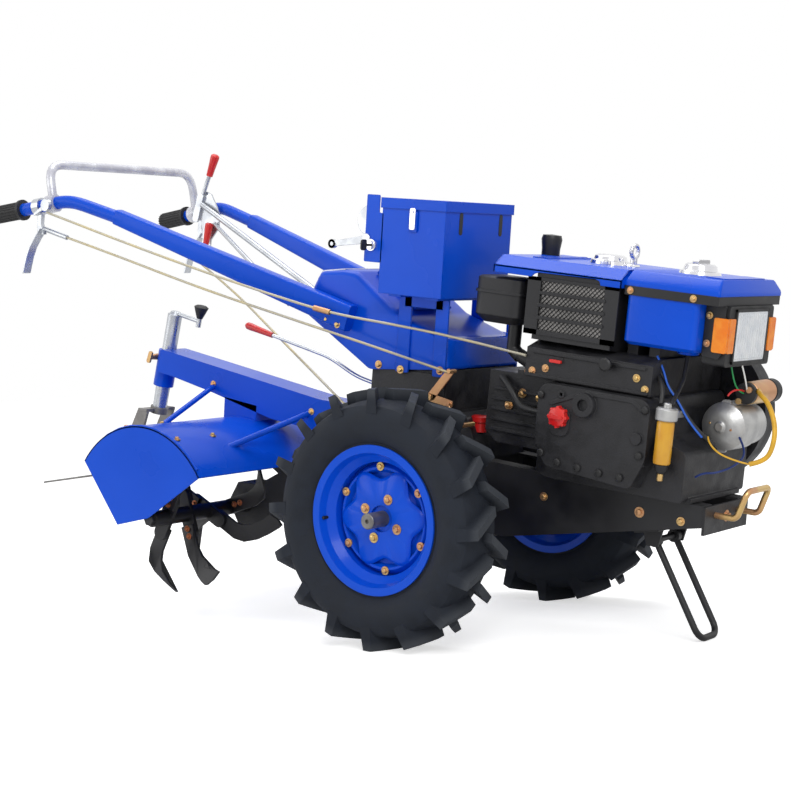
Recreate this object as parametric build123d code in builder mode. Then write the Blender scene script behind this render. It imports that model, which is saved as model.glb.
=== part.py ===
"""Walk-behind power tiller: two-wheel diesel tractor with a rotary tiller behind.

Everything is drawn in the machine's own frame: X forward, Y to the left, Z up from the
wheel axle.  The machine parks with its nose down on the front stand, so that frame is
tilted by the parking angle, which follows from the wheel radius and the stand's foot.
The model's origin lies on the ground, under the middle of the parked machine.
"""

import os
from math import asin, atan2, ceil, cos, degrees, hypot, pi, radians, sin, tan

from build123d import *

os.makedirs("parts", exist_ok=True)

# Wheels
tyre_radius = 295.0
tyre_width = 138.0
lug_height = 25.0
lug_count = 16
wheel_track = 740.0
rim_radius = 170.0
rim_width = 104.0
rim_sheet = 5.0
disc_setback = 42.0
hub_bolt_circle = 49.0
disc_bolt_circle = 118.0
axle_diameter = 36.0
axle_overhang = 17.0

# Front stand, folded down when parked
stand_pivot_x = 512.0
stand_pivot_z = -4.0
stand_foot_x = 638.0
stand_foot_z = -206.0
stand_width = 90.0
stand_rod = 15.0

# Frame rails
rail_half_width = 105.0
rail_sheet = 6.0
rail_flange = 42.0
rail_front_x = 650.0
rail_rear_x = -38.0
rail_top_front_z = 101.0
rail_slope = 2.0
rail_depth_front = 48.0
rail_depth_rear = 170.0

# Clearances
seat_gap = 0.3
shaft_gap = 0.06
moving_gap = 6.0

# Parked attitude: wheels and the stand's foot rest on the ground
foot_distance = hypot(stand_foot_x, stand_foot_z)
foot_angle = atan2(-stand_foot_z, stand_foot_x)
parked_pitch = asin((tyre_radius - stand_rod / 2) / foot_distance) - foot_angle

# Engine frame: it leans with the rails' top edges
engine_x = 400.0
engine_z = rail_top_front_z + (rail_front_x - engine_x) * tan(radians(rail_slope))

# Where the axle stands ahead of the origin
axle_x = 396.0

forward = Vector(cos(parked_pitch), 0, -sin(parked_pitch))
upward = Vector(sin(parked_pitch), 0, cos(parked_pitch))
leftward = Vector(0, 1, 0)
machine = Plane(origin=(axle_x, 0, tyre_radius), x_dir=forward, z_dir=upward)


def at(x, y, z):
    """A point of the machine's frame, in the model's coordinates."""
    return machine.from_local_coords(Vector(x, y, z))


def side_plane(y, x=0, z=0):
    """Upright lengthwise plane: sketch X is forward, sketch Y up, normal to the right."""
    return Plane(origin=at(x, y, z), x_dir=forward, z_dir=-leftward)


def plan_plane(z, x=0, y=0):
    """Level plane: sketch X is forward, sketch Y to the left, normal up."""
    return Plane(origin=at(x, y, z), x_dir=forward, z_dir=upward)


def cross_plane(x, y=0, z=0):
    """Upright crosswise plane: sketch X is to the left, sketch Y up, normal forward."""
    return Plane(origin=at(x, y, z), x_dir=leftward, z_dir=forward)


lean = radians(rail_slope)
engine = Plane(
    origin=at(engine_x, 0, engine_z),
    x_dir=forward * cos(lean) - upward * sin(lean),
    z_dir=upward * cos(lean) + forward * sin(lean),
)


def engine_side(y, x=0, z=0):
    """Upright lengthwise plane of the engine, normal to the right."""
    origin = engine.from_local_coords(Vector(x, y, z))
    return Plane(origin=origin, x_dir=engine.x_dir, z_dir=-leftward)


def engine_plan(z, x=0, y=0):
    """Plane level with the engine's feet, normal up."""
    return Plane(origin=engine.from_local_coords(Vector(x, y, z)), x_dir=engine.x_dir, z_dir=engine.z_dir)


def engine_cross(x, y=0, z=0):
    """Crosswise plane of the engine, normal forward."""
    return Plane(origin=engine.from_local_coords(Vector(x, y, z)), x_dir=leftward, z_dir=engine.x_dir)


def write(piece, label):
    """Name a finished piece and write its file."""
    piece.part.label = label
    export_step(piece.part, f"parts/{label}.step")


# Tyres: carcass with two rows of bar lugs that meet in a chevron
carcass_radius = tyre_radius - lug_height
tyre_half = tyre_width / 2
bead_half = rim_width / 2 - rim_sheet
bead_radius = rim_radius - 14
shoulder_radius = (rim_radius + carcass_radius) / 2 + 8
lug_top = 20.0
lug_root = 30.0
lug_sweep = 46.0
lug_overlap = 9.0


def tyre(y, hand):
    """One tyre round the wheel's middle plane; hand turns its chevrons for its side."""
    with BuildPart() as body:
        with BuildSketch(cross_plane(0, y, 0)):
            with BuildLine():
                Polyline(
                    (-bead_half, rim_radius + 5),
                    (-bead_half, bead_radius),
                    (bead_half, bead_radius),
                    (bead_half, rim_radius + 5),
                )
                ThreePointArc(
                    (bead_half, rim_radius + 5),
                    (tyre_half, shoulder_radius),
                    (tyre_half - 14, carcass_radius - 12),
                )
                ThreePointArc(
                    (tyre_half - 14, carcass_radius - 12),
                    (0, carcass_radius),
                    (-tyre_half + 14, carcass_radius - 12),
                )
                ThreePointArc(
                    (-tyre_half + 14, carcass_radius - 12),
                    (-tyre_half, shoulder_radius),
                    (-bead_half, rim_radius + 5),
                )
            make_face()
        revolve(axis=Axis(at(0, y, 0), leftward))
        add([
            lug.part.rotate(Axis(at(0, y, 0), leftward), 360 / lug_count * (step + shift))
            for lug, shift in ((lug_bar(y, 1, hand), 0), (lug_bar(y, -1, hand), 0.5))
            for step in range(lug_count)
        ])
    return body


def lug_bar(y, row, hand):
    """The lug that stands on the ground, in the left or right row."""
    foot = Plane(origin=at(0, y, 0), x_dir=(1, 0, 0), z_dir=(0, 0, -1))
    with BuildPart() as bar:
        with BuildSketch(foot.offset(carcass_radius - 30)):
            lug_outline(row, hand, lug_root, tyre_half - 3)
        with BuildSketch(foot.offset(tyre_radius + 3)):
            lug_outline(row, hand, lug_top, tyre_half - 8)
        loft()
        with BuildSketch(side_plane(y)):
            Circle(tyre_radius)
        extrude(amount=tyre_half, both=True, mode=Mode.INTERSECT)
    return bar


def lug_outline(row, hand, width, reach):
    """Footprint of one bar lug, from just past the tyre's middle out to its shoulder."""
    inner = -row * lug_overlap
    outer = row * reach
    lead = hand * lug_sweep
    Polygon(
        (lead / 2 + width / 2, inner),
        (-lead / 2 + width / 2, outer),
        (-lead / 2 - width / 2, outer),
        (lead / 2 - width / 2, inner),
        align=None,
    )


tyre_right = tyre(-wheel_track / 2, 1)
write(tyre_right, "tyre_right")
tyre_left = tyre(wheel_track / 2, 1)
write(tyre_left, "tyre_left")

# Wheels: drop-centre rim with a dished disc, carried on the axle's square-shouldered stub
rim_half = rim_width / 2
well_radius = rim_radius - 36
disc_radius = well_radius - rim_sheet
hub_radius = 68.0
hub_length = 52.0
bolt_head = 9.0


def wheel(y, out):
    """Rim and disc; out is -1 on the right wheel and 1 on the left one."""
    disc_y = y + out * (rim_half - disc_setback)
    with BuildPart() as body:
        with BuildSketch(cross_plane(0, y, 0)):
            with BuildLine():
                Polyline(
                    (-rim_half, rim_radius),
                    (-rim_half, rim_radius - 18),
                    (-rim_half + 18, rim_radius - 20 - rim_sheet),
                    (-18, well_radius - rim_sheet),
                    (18, well_radius - rim_sheet),
                    (rim_half - 18, rim_radius - 20 - rim_sheet),
                    (rim_half, rim_radius - 18),
                    (rim_half, rim_radius),
                    (rim_half - rim_sheet, rim_radius),
                    (rim_half - rim_sheet, rim_radius - 14 - seat_gap),
                    (rim_half - 18, rim_radius - 14 - seat_gap),
                    (18, well_radius),
                    (-18, well_radius),
                    (-rim_half + 18, rim_radius - 14 - seat_gap),
                    (-rim_half + rim_sheet, rim_radius - 14 - seat_gap),
                    (-rim_half + rim_sheet, rim_radius),
                    close=True,
                )
            make_face()
        revolve(axis=Axis(at(0, y, 0), leftward))
        with BuildSketch(cross_plane(0, disc_y, 0)):
            with BuildLine():
                Polyline(
                    (0, 0),
                    (0, 78),
                    (-out * 14, 92),
                    (-out * 14, 104),
                    (0, 112),
                    (0, disc_radius - 12),
                    (-out * 22, disc_radius + 2),
                    (-out * (22 + rim_sheet), disc_radius + 2),
                    (-out * rim_sheet, disc_radius - 14),
                    (-out * rim_sheet, 114),
                    (-out * (14 + rim_sheet), 106),
                    (-out * (14 + rim_sheet), 90),
                    (-out * rim_sheet, 76),
                    (-out * rim_sheet, 0),
                    close=True,
                )
            make_face()
        revolve(axis=Axis(at(0, disc_y, 0), leftward))
        with BuildSketch(side_plane(disc_y)):
            Circle(axle_diameter / 2 + shaft_gap)
        extrude(amount=60, both=True, mode=Mode.SUBTRACT)
    return body


wheel_right = wheel(-wheel_track / 2, -1)
write(wheel_right, "wheel_right")
wheel_left = wheel(wheel_track / 2, 1)
write(wheel_left, "wheel_left")

axle_end = wheel_track / 2 + rim_half + axle_overhang
hub_face = wheel_track / 2 + rim_half - disc_setback - rim_sheet
housing_end = hub_face - hub_length - moving_gap
axle_engagement = 60.0


def axle(out):
    """Wheel axle with its hub flange behind the disc, bolts through it and a centred end."""
    with BuildPart() as body:
        with BuildSketch(side_plane(out * (hub_face - hub_length))):
            Circle(hub_radius - 18)
        extrude(amount=-out * (hub_length - 14))
        with BuildSketch(side_plane(out * (housing_end - axle_engagement))):
            Circle(axle_diameter / 2)
        extrude(amount=-out * (axle_engagement + moving_gap))
        with BuildSketch(side_plane(out * (hub_face - 14))):
            Circle(hub_radius)
        extrude(amount=-out * 14)
        with BuildSketch(side_plane(out * hub_face)):
            Circle(axle_diameter / 2)
        extrude(amount=-out * (axle_end - hub_face))
        chamfer(body.faces().sort_by(Axis(at(0, 0, 0), leftward))[-1 if out > 0 else 0].edges(), 2)
        with BuildSketch(side_plane(out * axle_end)):
            Circle(5)
        extrude(amount=out * 6, mode=Mode.SUBTRACT)
    return body


axle_right = axle(-1)
write(axle_right, "axle_right")
axle_left = axle(1)
write(axle_left, "axle_left")

# Gearbox: main case between the rails, axle tubes and the seat of the handlebar base
case_half = rail_half_width - rail_sheet
tube_radius = 44.0
axle_flange_radius = 78.0
case_front_x = 60.0
case_rear_x = -300.0
base_half = 150.0
base_sheet = 4.0
base_seat_z = 300.0
clutch_x = -95.0
clutch_z = 70.0
clutch_radius = 108.0
belt_inner_y = 228.0
belt_outer_y = 276.0

with BuildPart() as gearbox:
    with BuildSketch(side_plane(0)):
        with BuildLine():
            Polyline(
                (case_front_x, -40),
                (case_front_x, 118),
                (20, 214),
                (-130, 226),
                (-262, 196),
                (case_rear_x, 140),
                (case_rear_x, -6),
                (-230, -72),
                (-95, -102),
                (10, -96),
                close=True,
            )
        make_face()
    extrude(amount=case_half, both=True)
    fillet(gearbox.edges().filter_by(Axis((0, 0, 0), leftward)), 14)
    with BuildSketch(side_plane(0)):
        Circle(axle_flange_radius)
    extrude(amount=case_half + 14, both=True)
    with BuildSketch(side_plane(0)):
        Circle(tube_radius)
    extrude(amount=housing_end, both=True)
    for out in (-1, 1):
        with BuildSketch(side_plane(out * housing_end)):
            Circle(axle_diameter / 2 + shaft_gap)
        extrude(amount=out * (axle_engagement + 2), mode=Mode.SUBTRACT)
    with BuildSketch(side_plane(0, -115, base_seat_z / 2 + 108)):
        Rectangle(190, base_seat_z - 196)
    extrude(amount=base_half - base_sheet, both=True)
    with BuildSketch(side_plane(case_half, clutch_x, clutch_z)):
        Circle(52)
    extrude(amount=-(belt_inner_y - case_half - 8))
write(gearbox, "gearbox")

# Rails: two pressed channels that taper to the front, flanges turned inwards
rail_top_rear_z = rail_top_front_z + (rail_front_x - rail_rear_x) * tan(radians(rail_slope))
rail_bottom_front_z = rail_top_front_z - rail_depth_front
rail_heel_x = 144.0
rail_heel_z = -51.0


def rail(out):
    """One rail; out is -1 on the right and 1 on the left."""
    corners = (
        (rail_rear_x, rail_heel_z + 10),
        (rail_rear_x, rail_top_rear_z),
        (rail_front_x, rail_top_front_z),
        (rail_front_x, rail_bottom_front_z),
        (rail_heel_x, rail_heel_z),
    )
    with BuildPart() as body:
        with BuildSketch(side_plane(out * rail_half_width)):
            Polygon(*corners, align=None)
        extrude(amount=out * rail_flange)
        with BuildSketch(side_plane(out * (rail_half_width - rail_sheet))):
            with BuildLine():
                Polyline(*corners, close=True)
            make_face()
            offset(amount=-rail_sheet, kind=Kind.INTERSECTION)
        extrude(amount=out * rail_flange, mode=Mode.SUBTRACT)
        with BuildSketch(side_plane(out * case_half)):
            with Locations((case_front_x + moving_gap - 400, 0)):
                Rectangle(800, 800)
        extrude(amount=out * rail_flange, mode=Mode.SUBTRACT)
        with BuildSketch(side_plane(out * rail_half_width)):
            Circle(axle_flange_radius + seat_gap)
        extrude(amount=out * rail_flange, mode=Mode.SUBTRACT)
    return body


rail_right = rail(-1)
write(rail_right, "rail_right")
rail_left = rail(1)
write(rail_left, "rail_left")

# Front plate that joins the rails, and the bent bumper rod on it
plate_sheet = 6.0
plate_top_z = rail_top_front_z - 2
plate_height = 62.0
bumper_rod_size = 14.0

with BuildPart() as front_plate:
    with BuildSketch(cross_plane(rail_front_x, 0, plate_top_z - plate_height / 2)):
        Rectangle(2 * rail_half_width, plate_height)
    extrude(amount=plate_sheet)
    with BuildSketch(cross_plane(rail_front_x, 0, plate_top_z - plate_height / 2)):
        Circle(8)
    extrude(amount=plate_sheet, mode=Mode.SUBTRACT)
write(front_plate, "front_plate")

bumper_z = plate_top_z - 22
bumper_start_x = rail_front_x + plate_sheet
with BuildPart() as bumper_rod:
    with BuildLine(machine) as bumper_path:
        FilletPolyline(
            (bumper_start_x, -55, bumper_z),
            (bumper_start_x + 50, -55, bumper_z),
            (bumper_start_x + 70, -55, bumper_z + 62),
            (bumper_start_x + 70, 55, bumper_z + 62),
            (bumper_start_x + 50, 55, bumper_z),
            (bumper_start_x, 55, bumper_z),
            radius=16,
        )
    with BuildSketch(Plane(origin=bumper_path.line @ 0, z_dir=bumper_path.line % 0)):
        Circle(bumper_rod_size / 2)
    sweep()
write(bumper_rod, "bumper_rod")

# Front stand: a bent rod that hangs from a cross pin in two lugs under the rails
stand_lug_y = stand_width / 2 + stand_rod / 2 + 4
stand_pin_radius = 7.0
eye_radius = 15.0
rail_bottom_slope = (rail_bottom_front_z - rail_heel_z) / (rail_front_x - rail_heel_x)
bracket_z = rail_bottom_front_z - (rail_front_x - stand_pivot_x) * rail_bottom_slope
bracket_sheet = 5.0
bracket_plane = Plane(
    origin=at(stand_pivot_x, 0, bracket_z),
    x_dir=forward + upward * rail_bottom_slope,
    z_dir=upward - forward * rail_bottom_slope,
)
with BuildPart() as stand_bracket:
    with BuildSketch(bracket_plane):
        Rectangle(60, 2 * rail_half_width - 20)
    extrude(amount=-bracket_sheet)
    for out in (-1, 1):
        with BuildSketch(side_plane(out * (stand_lug_y + 3))):
            Polygon(
                (stand_pivot_x - 24, bracket_z - bracket_sheet - 4),
                (stand_pivot_x + 24, bracket_z - bracket_sheet + 4),
                (stand_pivot_x + 14, stand_pivot_z - 12),
                (stand_pivot_x - 14, stand_pivot_z - 12),
                align=None,
            )
        extrude(amount=3, both=True)
    with BuildSketch(side_plane(0, stand_pivot_x, stand_pivot_z)):
        Circle(stand_pin_radius)
    extrude(amount=stand_lug_y, both=True)
write(stand_bracket, "stand_bracket")

leg_run = hypot(stand_foot_x - stand_pivot_x, stand_foot_z - stand_pivot_z)
leg_start = (eye_radius - 2) / leg_run
leg_top_x = stand_pivot_x + (stand_foot_x - stand_pivot_x) * leg_start
leg_top_z = stand_pivot_z + (stand_foot_z - stand_pivot_z) * leg_start
with BuildPart() as front_stand:
    with BuildLine(machine) as stand_path:
        FilletPolyline(
            (leg_top_x, -stand_width / 2, leg_top_z),
            (stand_foot_x, -stand_width / 2, stand_foot_z),
            (stand_foot_x, stand_width / 2, stand_foot_z),
            (leg_top_x, stand_width / 2, leg_top_z),
            radius=stand_width * 0.3,
        )
    with BuildSketch(Plane(origin=stand_path.line @ 0, z_dir=stand_path.line % 0)):
        Circle(stand_rod / 2)
    sweep()
    for out in (-1, 1):
        with BuildSketch(side_plane(out * stand_width / 2, stand_pivot_x, stand_pivot_z)):
            Circle(eye_radius)
            Circle(stand_pin_radius + shaft_gap, mode=Mode.SUBTRACT)
        extrude(amount=stand_rod / 2 + 1, both=True)
write(front_stand, "front_stand")

# Engine: block on the rails, covers, head, flywheel
block_half = 150.0
block_rear_x = -150.0
block_front_x = 160.0
block_height = 250.0
cover_depth = 40.0
with BuildPart() as engine_block:
    with BuildSketch(engine_side(0, 0, 0)):
        with BuildLine():
            Polyline(
                (block_rear_x, 8),
                (block_rear_x, block_height),
                (block_front_x - 60, block_height),
                (block_front_x, block_height - 70),
                (block_front_x, 52),
                (block_front_x + 60, 40),
                (block_front_x + 60, 0),
                (-120, 0),
                close=True,
            )
        make_face()
    extrude(amount=block_half, both=True)
write(engine_block, "engine_block")

with BuildPart() as gear_cover:
    with BuildSketch(engine_side(-block_half)):
        with BuildLine():
            FilletPolyline(
                (-132, 40), (-132, 236), (-60, 250), (110, 244), (138, 200), (138, 30), (60, -14), (-70, -14),
                radius=18,
                close=True,
            )
        make_face()
    extrude(amount=cover_depth, taper=6)
    with BuildSketch(engine_side(-block_half - cover_depth, -17, 192)):
        Circle(27)
        Circle(13, mode=Mode.SUBTRACT)
    extrude(amount=14)
    with BuildSketch(engine_side(-block_half - cover_depth, -75, 150)):
        Ellipse(34, 22)
    extrude(amount=6)
write(gear_cover, "gear_cover")

with BuildPart() as oil_cap:
    with BuildSketch(engine_side(-block_half - cover_depth - 6, -75, 150)):
        Circle(21)
    extrude(amount=16)
write(oil_cap, "oil_cap")

top_height = 52.0
with BuildPart() as top_cover:
    with BuildSketch(engine_plan(block_height, -30)):
        Rectangle(230, 2 * block_half)
    extrude(amount=top_height)
    chamfer(top_cover.faces().sort_by(Axis(engine.origin, engine.z_dir))[-1].edges(), 14)
write(top_cover, "top_cover")

with BuildPart() as cylinder_head:
    with BuildSketch(engine_side(0)):
        with BuildLine():
            Polyline(
                (block_rear_x, 50), (block_rear_x, 236), (-262, 236), (-290, 214), (-290, 70), (-262, 50),
                close=True,
            )
        make_face()
    extrude(amount=112, both=True)
write(cylinder_head, "cylinder_head")

crank_x = 20.0
crank_z = 152.0
flywheel_radius = 178.0
pulley_radius = 78.0
with BuildPart() as flywheel:
    with BuildSketch(engine_side(block_half, crank_x, crank_z)):
        Circle(34)
    extrude(amount=-14)
    with BuildSketch(engine_side(block_half + 12, crank_x, crank_z)):
        Circle(flywheel_radius)
    extrude(amount=-52)
    with BuildSketch(engine_side(belt_outer_y, crank_x, crank_z)):
        Circle(pulley_radius)
    extrude(amount=belt_outer_y - block_half - 60)
write(flywheel, "flywheel")

# Radiator under its hood, with the side grille
radiator_rear_x = -195.0
radiator_front_x = 34.0
radiator_bottom = block_height + top_height
radiator_top = 455.0
hood_rear_x = -307.0
hood_front_x = 36.0
hood_top = 492.0
hood_sheet = 3.0
with BuildPart() as radiator:
    with BuildSketch(engine_plan(radiator_bottom, (radiator_rear_x + radiator_front_x) / 2 + 20)):
        Rectangle(radiator_front_x - radiator_rear_x - 40, 2 * block_half - 6)
    extrude(amount=radiator_top - radiator_bottom)
    with BuildSketch(engine_plan(radiator_top, (radiator_rear_x + radiator_front_x) / 2 + 20)):
        Rectangle(radiator_front_x - radiator_rear_x - 40, 260)
    extrude(amount=hood_top - hood_sheet - radiator_top)
write(radiator, "radiator")

with BuildPart() as radiator_hood:
    with BuildSketch(engine_cross(hood_rear_x)):
        with BuildLine():
            Polyline(
                (-162, 398), (-162, 462), (-138, hood_top), (138, hood_top), (162, 462), (162, 398),
                close=True,
            )
        make_face()
    extrude(amount=hood_front_x - hood_rear_x)
    with BuildSketch(engine_cross(hood_rear_x + hood_sheet)):
        with BuildLine():
            Polyline(
                (-159, 390), (-159, 461), (-137, hood_top - hood_sheet), (137, hood_top - hood_sheet), (159, 461), (159, 390),
                close=True,
            )
        make_face()
    extrude(amount=hood_front_x - hood_rear_x, mode=Mode.SUBTRACT)
write(radiator_hood, "radiator_hood")

with BuildPart() as radiator_cap:
    with BuildSketch(engine_plan(hood_top, -100)):
        Circle(50)
    extrude(amount=14)
    with BuildSketch(engine_plan(hood_top + 14, -100)):
        Circle(38)
    extrude(amount=12)
write(radiator_cap, "radiator_cap")

# Fuel tank in front of the radiator, with its cap, and the lamp
tank_rear_x = 44.0
tank_front_x = 235.0
tank_bottom = block_height + top_height
tank_top = 452.0
with BuildPart() as fuel_tank:
    with BuildSketch(engine_cross(tank_rear_x)):
        with BuildLine():
            Polyline(
                (-150, tank_bottom), (-150, tank_top), (-120, tank_top + 34), (120, tank_top + 34), (150, tank_top), (150, tank_bottom),
                close=True,
            )
        make_face()
    extrude(amount=tank_front_x - tank_rear_x)
write(fuel_tank, "fuel_tank")

with BuildPart() as tank_cap:
    with BuildSketch(engine_plan(tank_top + 34, 132)):
        Circle(54)
    extrude(amount=12)
    with BuildSketch(engine_plan(tank_top + 46, 132)):
        Circle(36)
    extrude(amount=16)
write(tank_cap, "tank_cap")

lamp_x = tank_front_x + 8
with BuildPart() as lamp_housing:
    with BuildSketch(engine_cross(tank_front_x, 0, 380)):
        RectangleRounded(200, 140, 12)
    extrude(amount=70)
write(lamp_housing, "lamp_housing")

with BuildPart() as lamp_lens:
    with BuildSketch(engine_cross(tank_front_x + 70, 0, 380)):
        RectangleRounded(180, 116, 8)
    extrude(amount=8)
write(lamp_lens, "lamp_lens")

with BuildPart() as muffler:
    with BuildSketch(engine_plan(236, -240, 60)):
        Circle(30)
    extrude(amount=hood_top - 236 - 40)
write(muffler, "muffler")

with BuildPart() as air_cleaner:
    with BuildSketch(engine_plan(320, -300, -96)):
        RectangleRounded(120, 110, 20)
    extrude(amount=74)
    with BuildSketch(engine_plan(236, -240, -96)):
        Circle(20)
    extrude(amount=90)
write(air_cleaner, "air_cleaner")

# Handlebar base and the battery box on its legs
with BuildPart() as handlebar_base:
    with BuildSketch(side_plane(0)):
        with BuildLine():
            Polyline(
                (-430, 330), (-436, 500), (-300, 512), (-212, 498), (-192, 462), (0, 430), (5, 268), (-60, 232), (-330, 222),
                close=True,
            )
        make_face()
    extrude(amount=base_half, both=True)
    with BuildSketch(side_plane(0)):
        with BuildLine():
            Polyline(
                (-426, 200), (-432, 496), (-300, 508), (-215, 495), (-196, 458), (-4, 426), (1, 200),
                close=True,
            )
        make_face()
    extrude(amount=base_half - base_sheet, both=True, mode=Mode.SUBTRACT)
write(handlebar_base, "handlebar_base")

box_rear_x = -187.0
box_length = 182.0
box_right_y = -204.0
box_width = 276.0
box_bottom_z = 492.0
box_height = 222.0
box_wall = 2.5
lid_depth = 22.0
lid_gap = 1.0
knuckle_radius = 5.0
hinge_pin_radius = 2.5
arm_width = knuckle_radius + lid_gap + box_wall
hinge_y = box_right_y + box_width + lid_gap + box_wall + knuckle_radius
hinge_z = box_bottom_z + box_height - lid_depth
box_mid_x = box_rear_x + box_length / 2
box_mid_y = box_right_y + box_width / 2
with BuildPart() as battery_box:
    with BuildSketch(plan_plane(box_bottom_z, box_mid_x, box_mid_y)):
        Rectangle(box_length, box_width)
    extrude(amount=box_height)
    with BuildSketch(plan_plane(box_bottom_z + box_wall, box_mid_x, box_mid_y)):
        Rectangle(box_length - 2 * box_wall, box_width - 2 * box_wall)
    extrude(amount=box_height, mode=Mode.SUBTRACT)
    for knuckle_x in (-58, 58):
        with BuildSketch(cross_plane(box_mid_x + knuckle_x, hinge_y, hinge_z)):
            Circle(knuckle_radius)
            with Locations((-arm_width / 2, -knuckle_radius)):
                Rectangle(arm_width, 2 * knuckle_radius - 2)
        extrude(amount=14, both=True)
    with BuildSketch(cross_plane(box_mid_x, hinge_y, hinge_z)):
        Circle(hinge_pin_radius)
    extrude(amount=70, both=True)
write(battery_box, "battery_box")

with BuildPart() as box_lid:
    with BuildSketch(plan_plane(box_bottom_z + box_height + seat_gap - lid_depth, box_mid_x, box_mid_y)):
        Rectangle(box_length + 2 * (box_wall + lid_gap), box_width + 2 * (box_wall + lid_gap))
    extrude(amount=lid_depth + box_wall)
    with BuildSketch(plan_plane(box_bottom_z + box_height + seat_gap - lid_depth, box_mid_x, box_mid_y)):
        Rectangle(box_length + 2 * lid_gap, box_width + 2 * lid_gap)
    extrude(amount=lid_depth, mode=Mode.SUBTRACT)
    with BuildSketch(cross_plane(box_mid_x, hinge_y, hinge_z)):
        Circle(knuckle_radius)
        with Locations((-knuckle_radius / 2, knuckle_radius / 2)):
            Rectangle(knuckle_radius, knuckle_radius)
        Circle(hinge_pin_radius + shaft_gap, mode=Mode.SUBTRACT)
    extrude(amount=40, both=True)
    for knuckle_x in (-58, 58):
        with BuildSketch(cross_plane(box_mid_x + knuckle_x, hinge_y - knuckle_radius, hinge_z)):
            Rectangle(3 * box_wall, 2 * knuckle_radius + 6)
        extrude(amount=17, both=True, mode=Mode.SUBTRACT)
write(box_lid, "box_lid")

leg_foot_z = 262.0
leg_bar = 20.0
leg_y = -box_right_y - 4
with BuildPart() as box_legs:
    for leg_x in (box_rear_x + 14, box_rear_x + box_length - 14):
        for out in (-1, 1):
            with BuildSketch(cross_plane(leg_x)):
                with BuildLine():
                    Polyline(
                        (0, box_bottom_z),
                        (out * (leg_y + 4), box_bottom_z),
                        (out * (leg_y + 4), leg_foot_z),
                        (out * base_half, leg_foot_z),
                        (out * base_half, leg_foot_z + 6),
                        (out * (leg_y - 4), leg_foot_z + 6),
                        (out * (leg_y - 4), box_bottom_z - 8),
                        (0, box_bottom_z - 8),
                        close=True,
                    )
                make_face()
            extrude(amount=leg_bar / 2, both=True)
write(box_legs, "box_legs")

# Handlebars: box beams that splay outwards, round grips at their ends
beam_height = 62.0
beam_width = 36.0
grip_radius = 16.5
bar_radius = 14.0


def handlebar(out):
    """Box beam bolted to the base's side, with the bent tube that carries the grip."""
    with BuildPart() as body:
        with BuildLine(machine) as beam_path:
            Line(
                (-330, out * (base_half + beam_width / 2), 385),
                (-1010, out * 262, 588),
            )
        with BuildSketch(Plane(origin=beam_path.line @ 0, x_dir=leftward, z_dir=beam_path.line % 0)):
            RectangleRounded(beam_width, beam_height, 8)
        sweep()
        with BuildLine(machine) as bar_path:
            FilletPolyline(
                (-990, out * 259, 582),
                (-1140, out * 290, 640),
                (-1230, out * 306, 612),
                (-1420, out * 326, 604),
                radius=50,
            )
        with BuildSketch(Plane(origin=bar_path.line @ 0, z_dir=bar_path.line % 0)):
            Circle(bar_radius)
        sweep()
    return body


handlebar_right = handlebar(-1)
write(handlebar_right, "handlebar_right")
handlebar_left = handlebar(1)
write(handlebar_left, "handlebar_left")


def grip(out):
    """Rubber sleeve over the end of the bar."""
    with BuildPart() as body:
        with BuildLine(machine) as grip_path:
            Line((-1300, out * (306 + 70 / 190 * 20), 612 - 70 / 190 * 8), (-1424, out * (306 + 194 / 190 * 20), 612 - 194 / 190 * 8))
        with BuildSketch(Plane(origin=grip_path.line @ 0, z_dir=grip_path.line % 0)):
            Circle(grip_radius + 2)
        sweep()
        with BuildSketch(Plane(origin=grip_path.line @ 0, z_dir=grip_path.line % 0)):
            Circle(bar_radius + shaft_gap)
        extrude(amount=121, mode=Mode.SUBTRACT)
    return body


grip_right = grip(-1)
write(grip_right, "grip_right")
grip_left = grip(1)
write(grip_left, "grip_left")

loop_x = -1262.0
loop_rod = 12.0
collar_share = (loop_x + 1230) / -190
collar_y = 306 + 20 * collar_share
collar_z = 612 - 8 * collar_share
with BuildPart() as handle_loop:
    with BuildLine(machine) as loop_path:
        FilletPolyline(
            (loop_x, -collar_y, collar_z + bar_radius + 3),
            (loop_x - 28, -collar_y + 6, 700),
            (loop_x, -262, 748),
            (loop_x, 262, 748),
            (loop_x - 28, collar_y - 6, 700),
            (loop_x, collar_y, collar_z + bar_radius + 3),
            radius=30,
        )
    with BuildSketch(Plane(origin=loop_path.line @ 0, z_dir=loop_path.line % 0)):
        Circle(loop_rod / 2)
    sweep()
    for out in (-1, 1):
        run = Plane(
            origin=at(loop_x, out * collar_y, collar_z),
            z_dir=at(-1420, out * 326, 604) - at(-1230, out * 306, 612),
        )
        with BuildSketch(run):
            Circle(bar_radius + 6)
            Circle(bar_radius + seat_gap, mode=Mode.SUBTRACT)
        extrude(amount=8, both=True)
write(handle_loop, "handle_loop")

# Tiller: drive case down to the rotor, beam over it, curved hood
rotor_x = -712.0
rotor_z = -118.0
rotor_shaft_radius = 20.0
case_width = 84.0
case_end_radius = 66.0
with BuildPart() as tiller_case:
    with BuildSketch(side_plane(0)):
        with BuildLine():
            Polyline(
                (case_rear_x, 126), (case_rear_x - 60, 126), (rotor_x + 40, rotor_z + case_end_radius * 0.9),
                (rotor_x - 30, rotor_z + 56), (rotor_x - 60, rotor_z), (rotor_x - 20, rotor_z - 60),
                (rotor_x + 40, rotor_z - 50), (case_rear_x, -4),
                close=True,
            )
        make_face()
    extrude(amount=case_width / 2, both=True)
    with BuildSketch(side_plane(0, rotor_x, rotor_z)):
        Circle(rotor_shaft_radius + shaft_gap)
    extrude(amount=case_width, both=True, mode=Mode.SUBTRACT)
write(tiller_case, "tiller_case")

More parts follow.
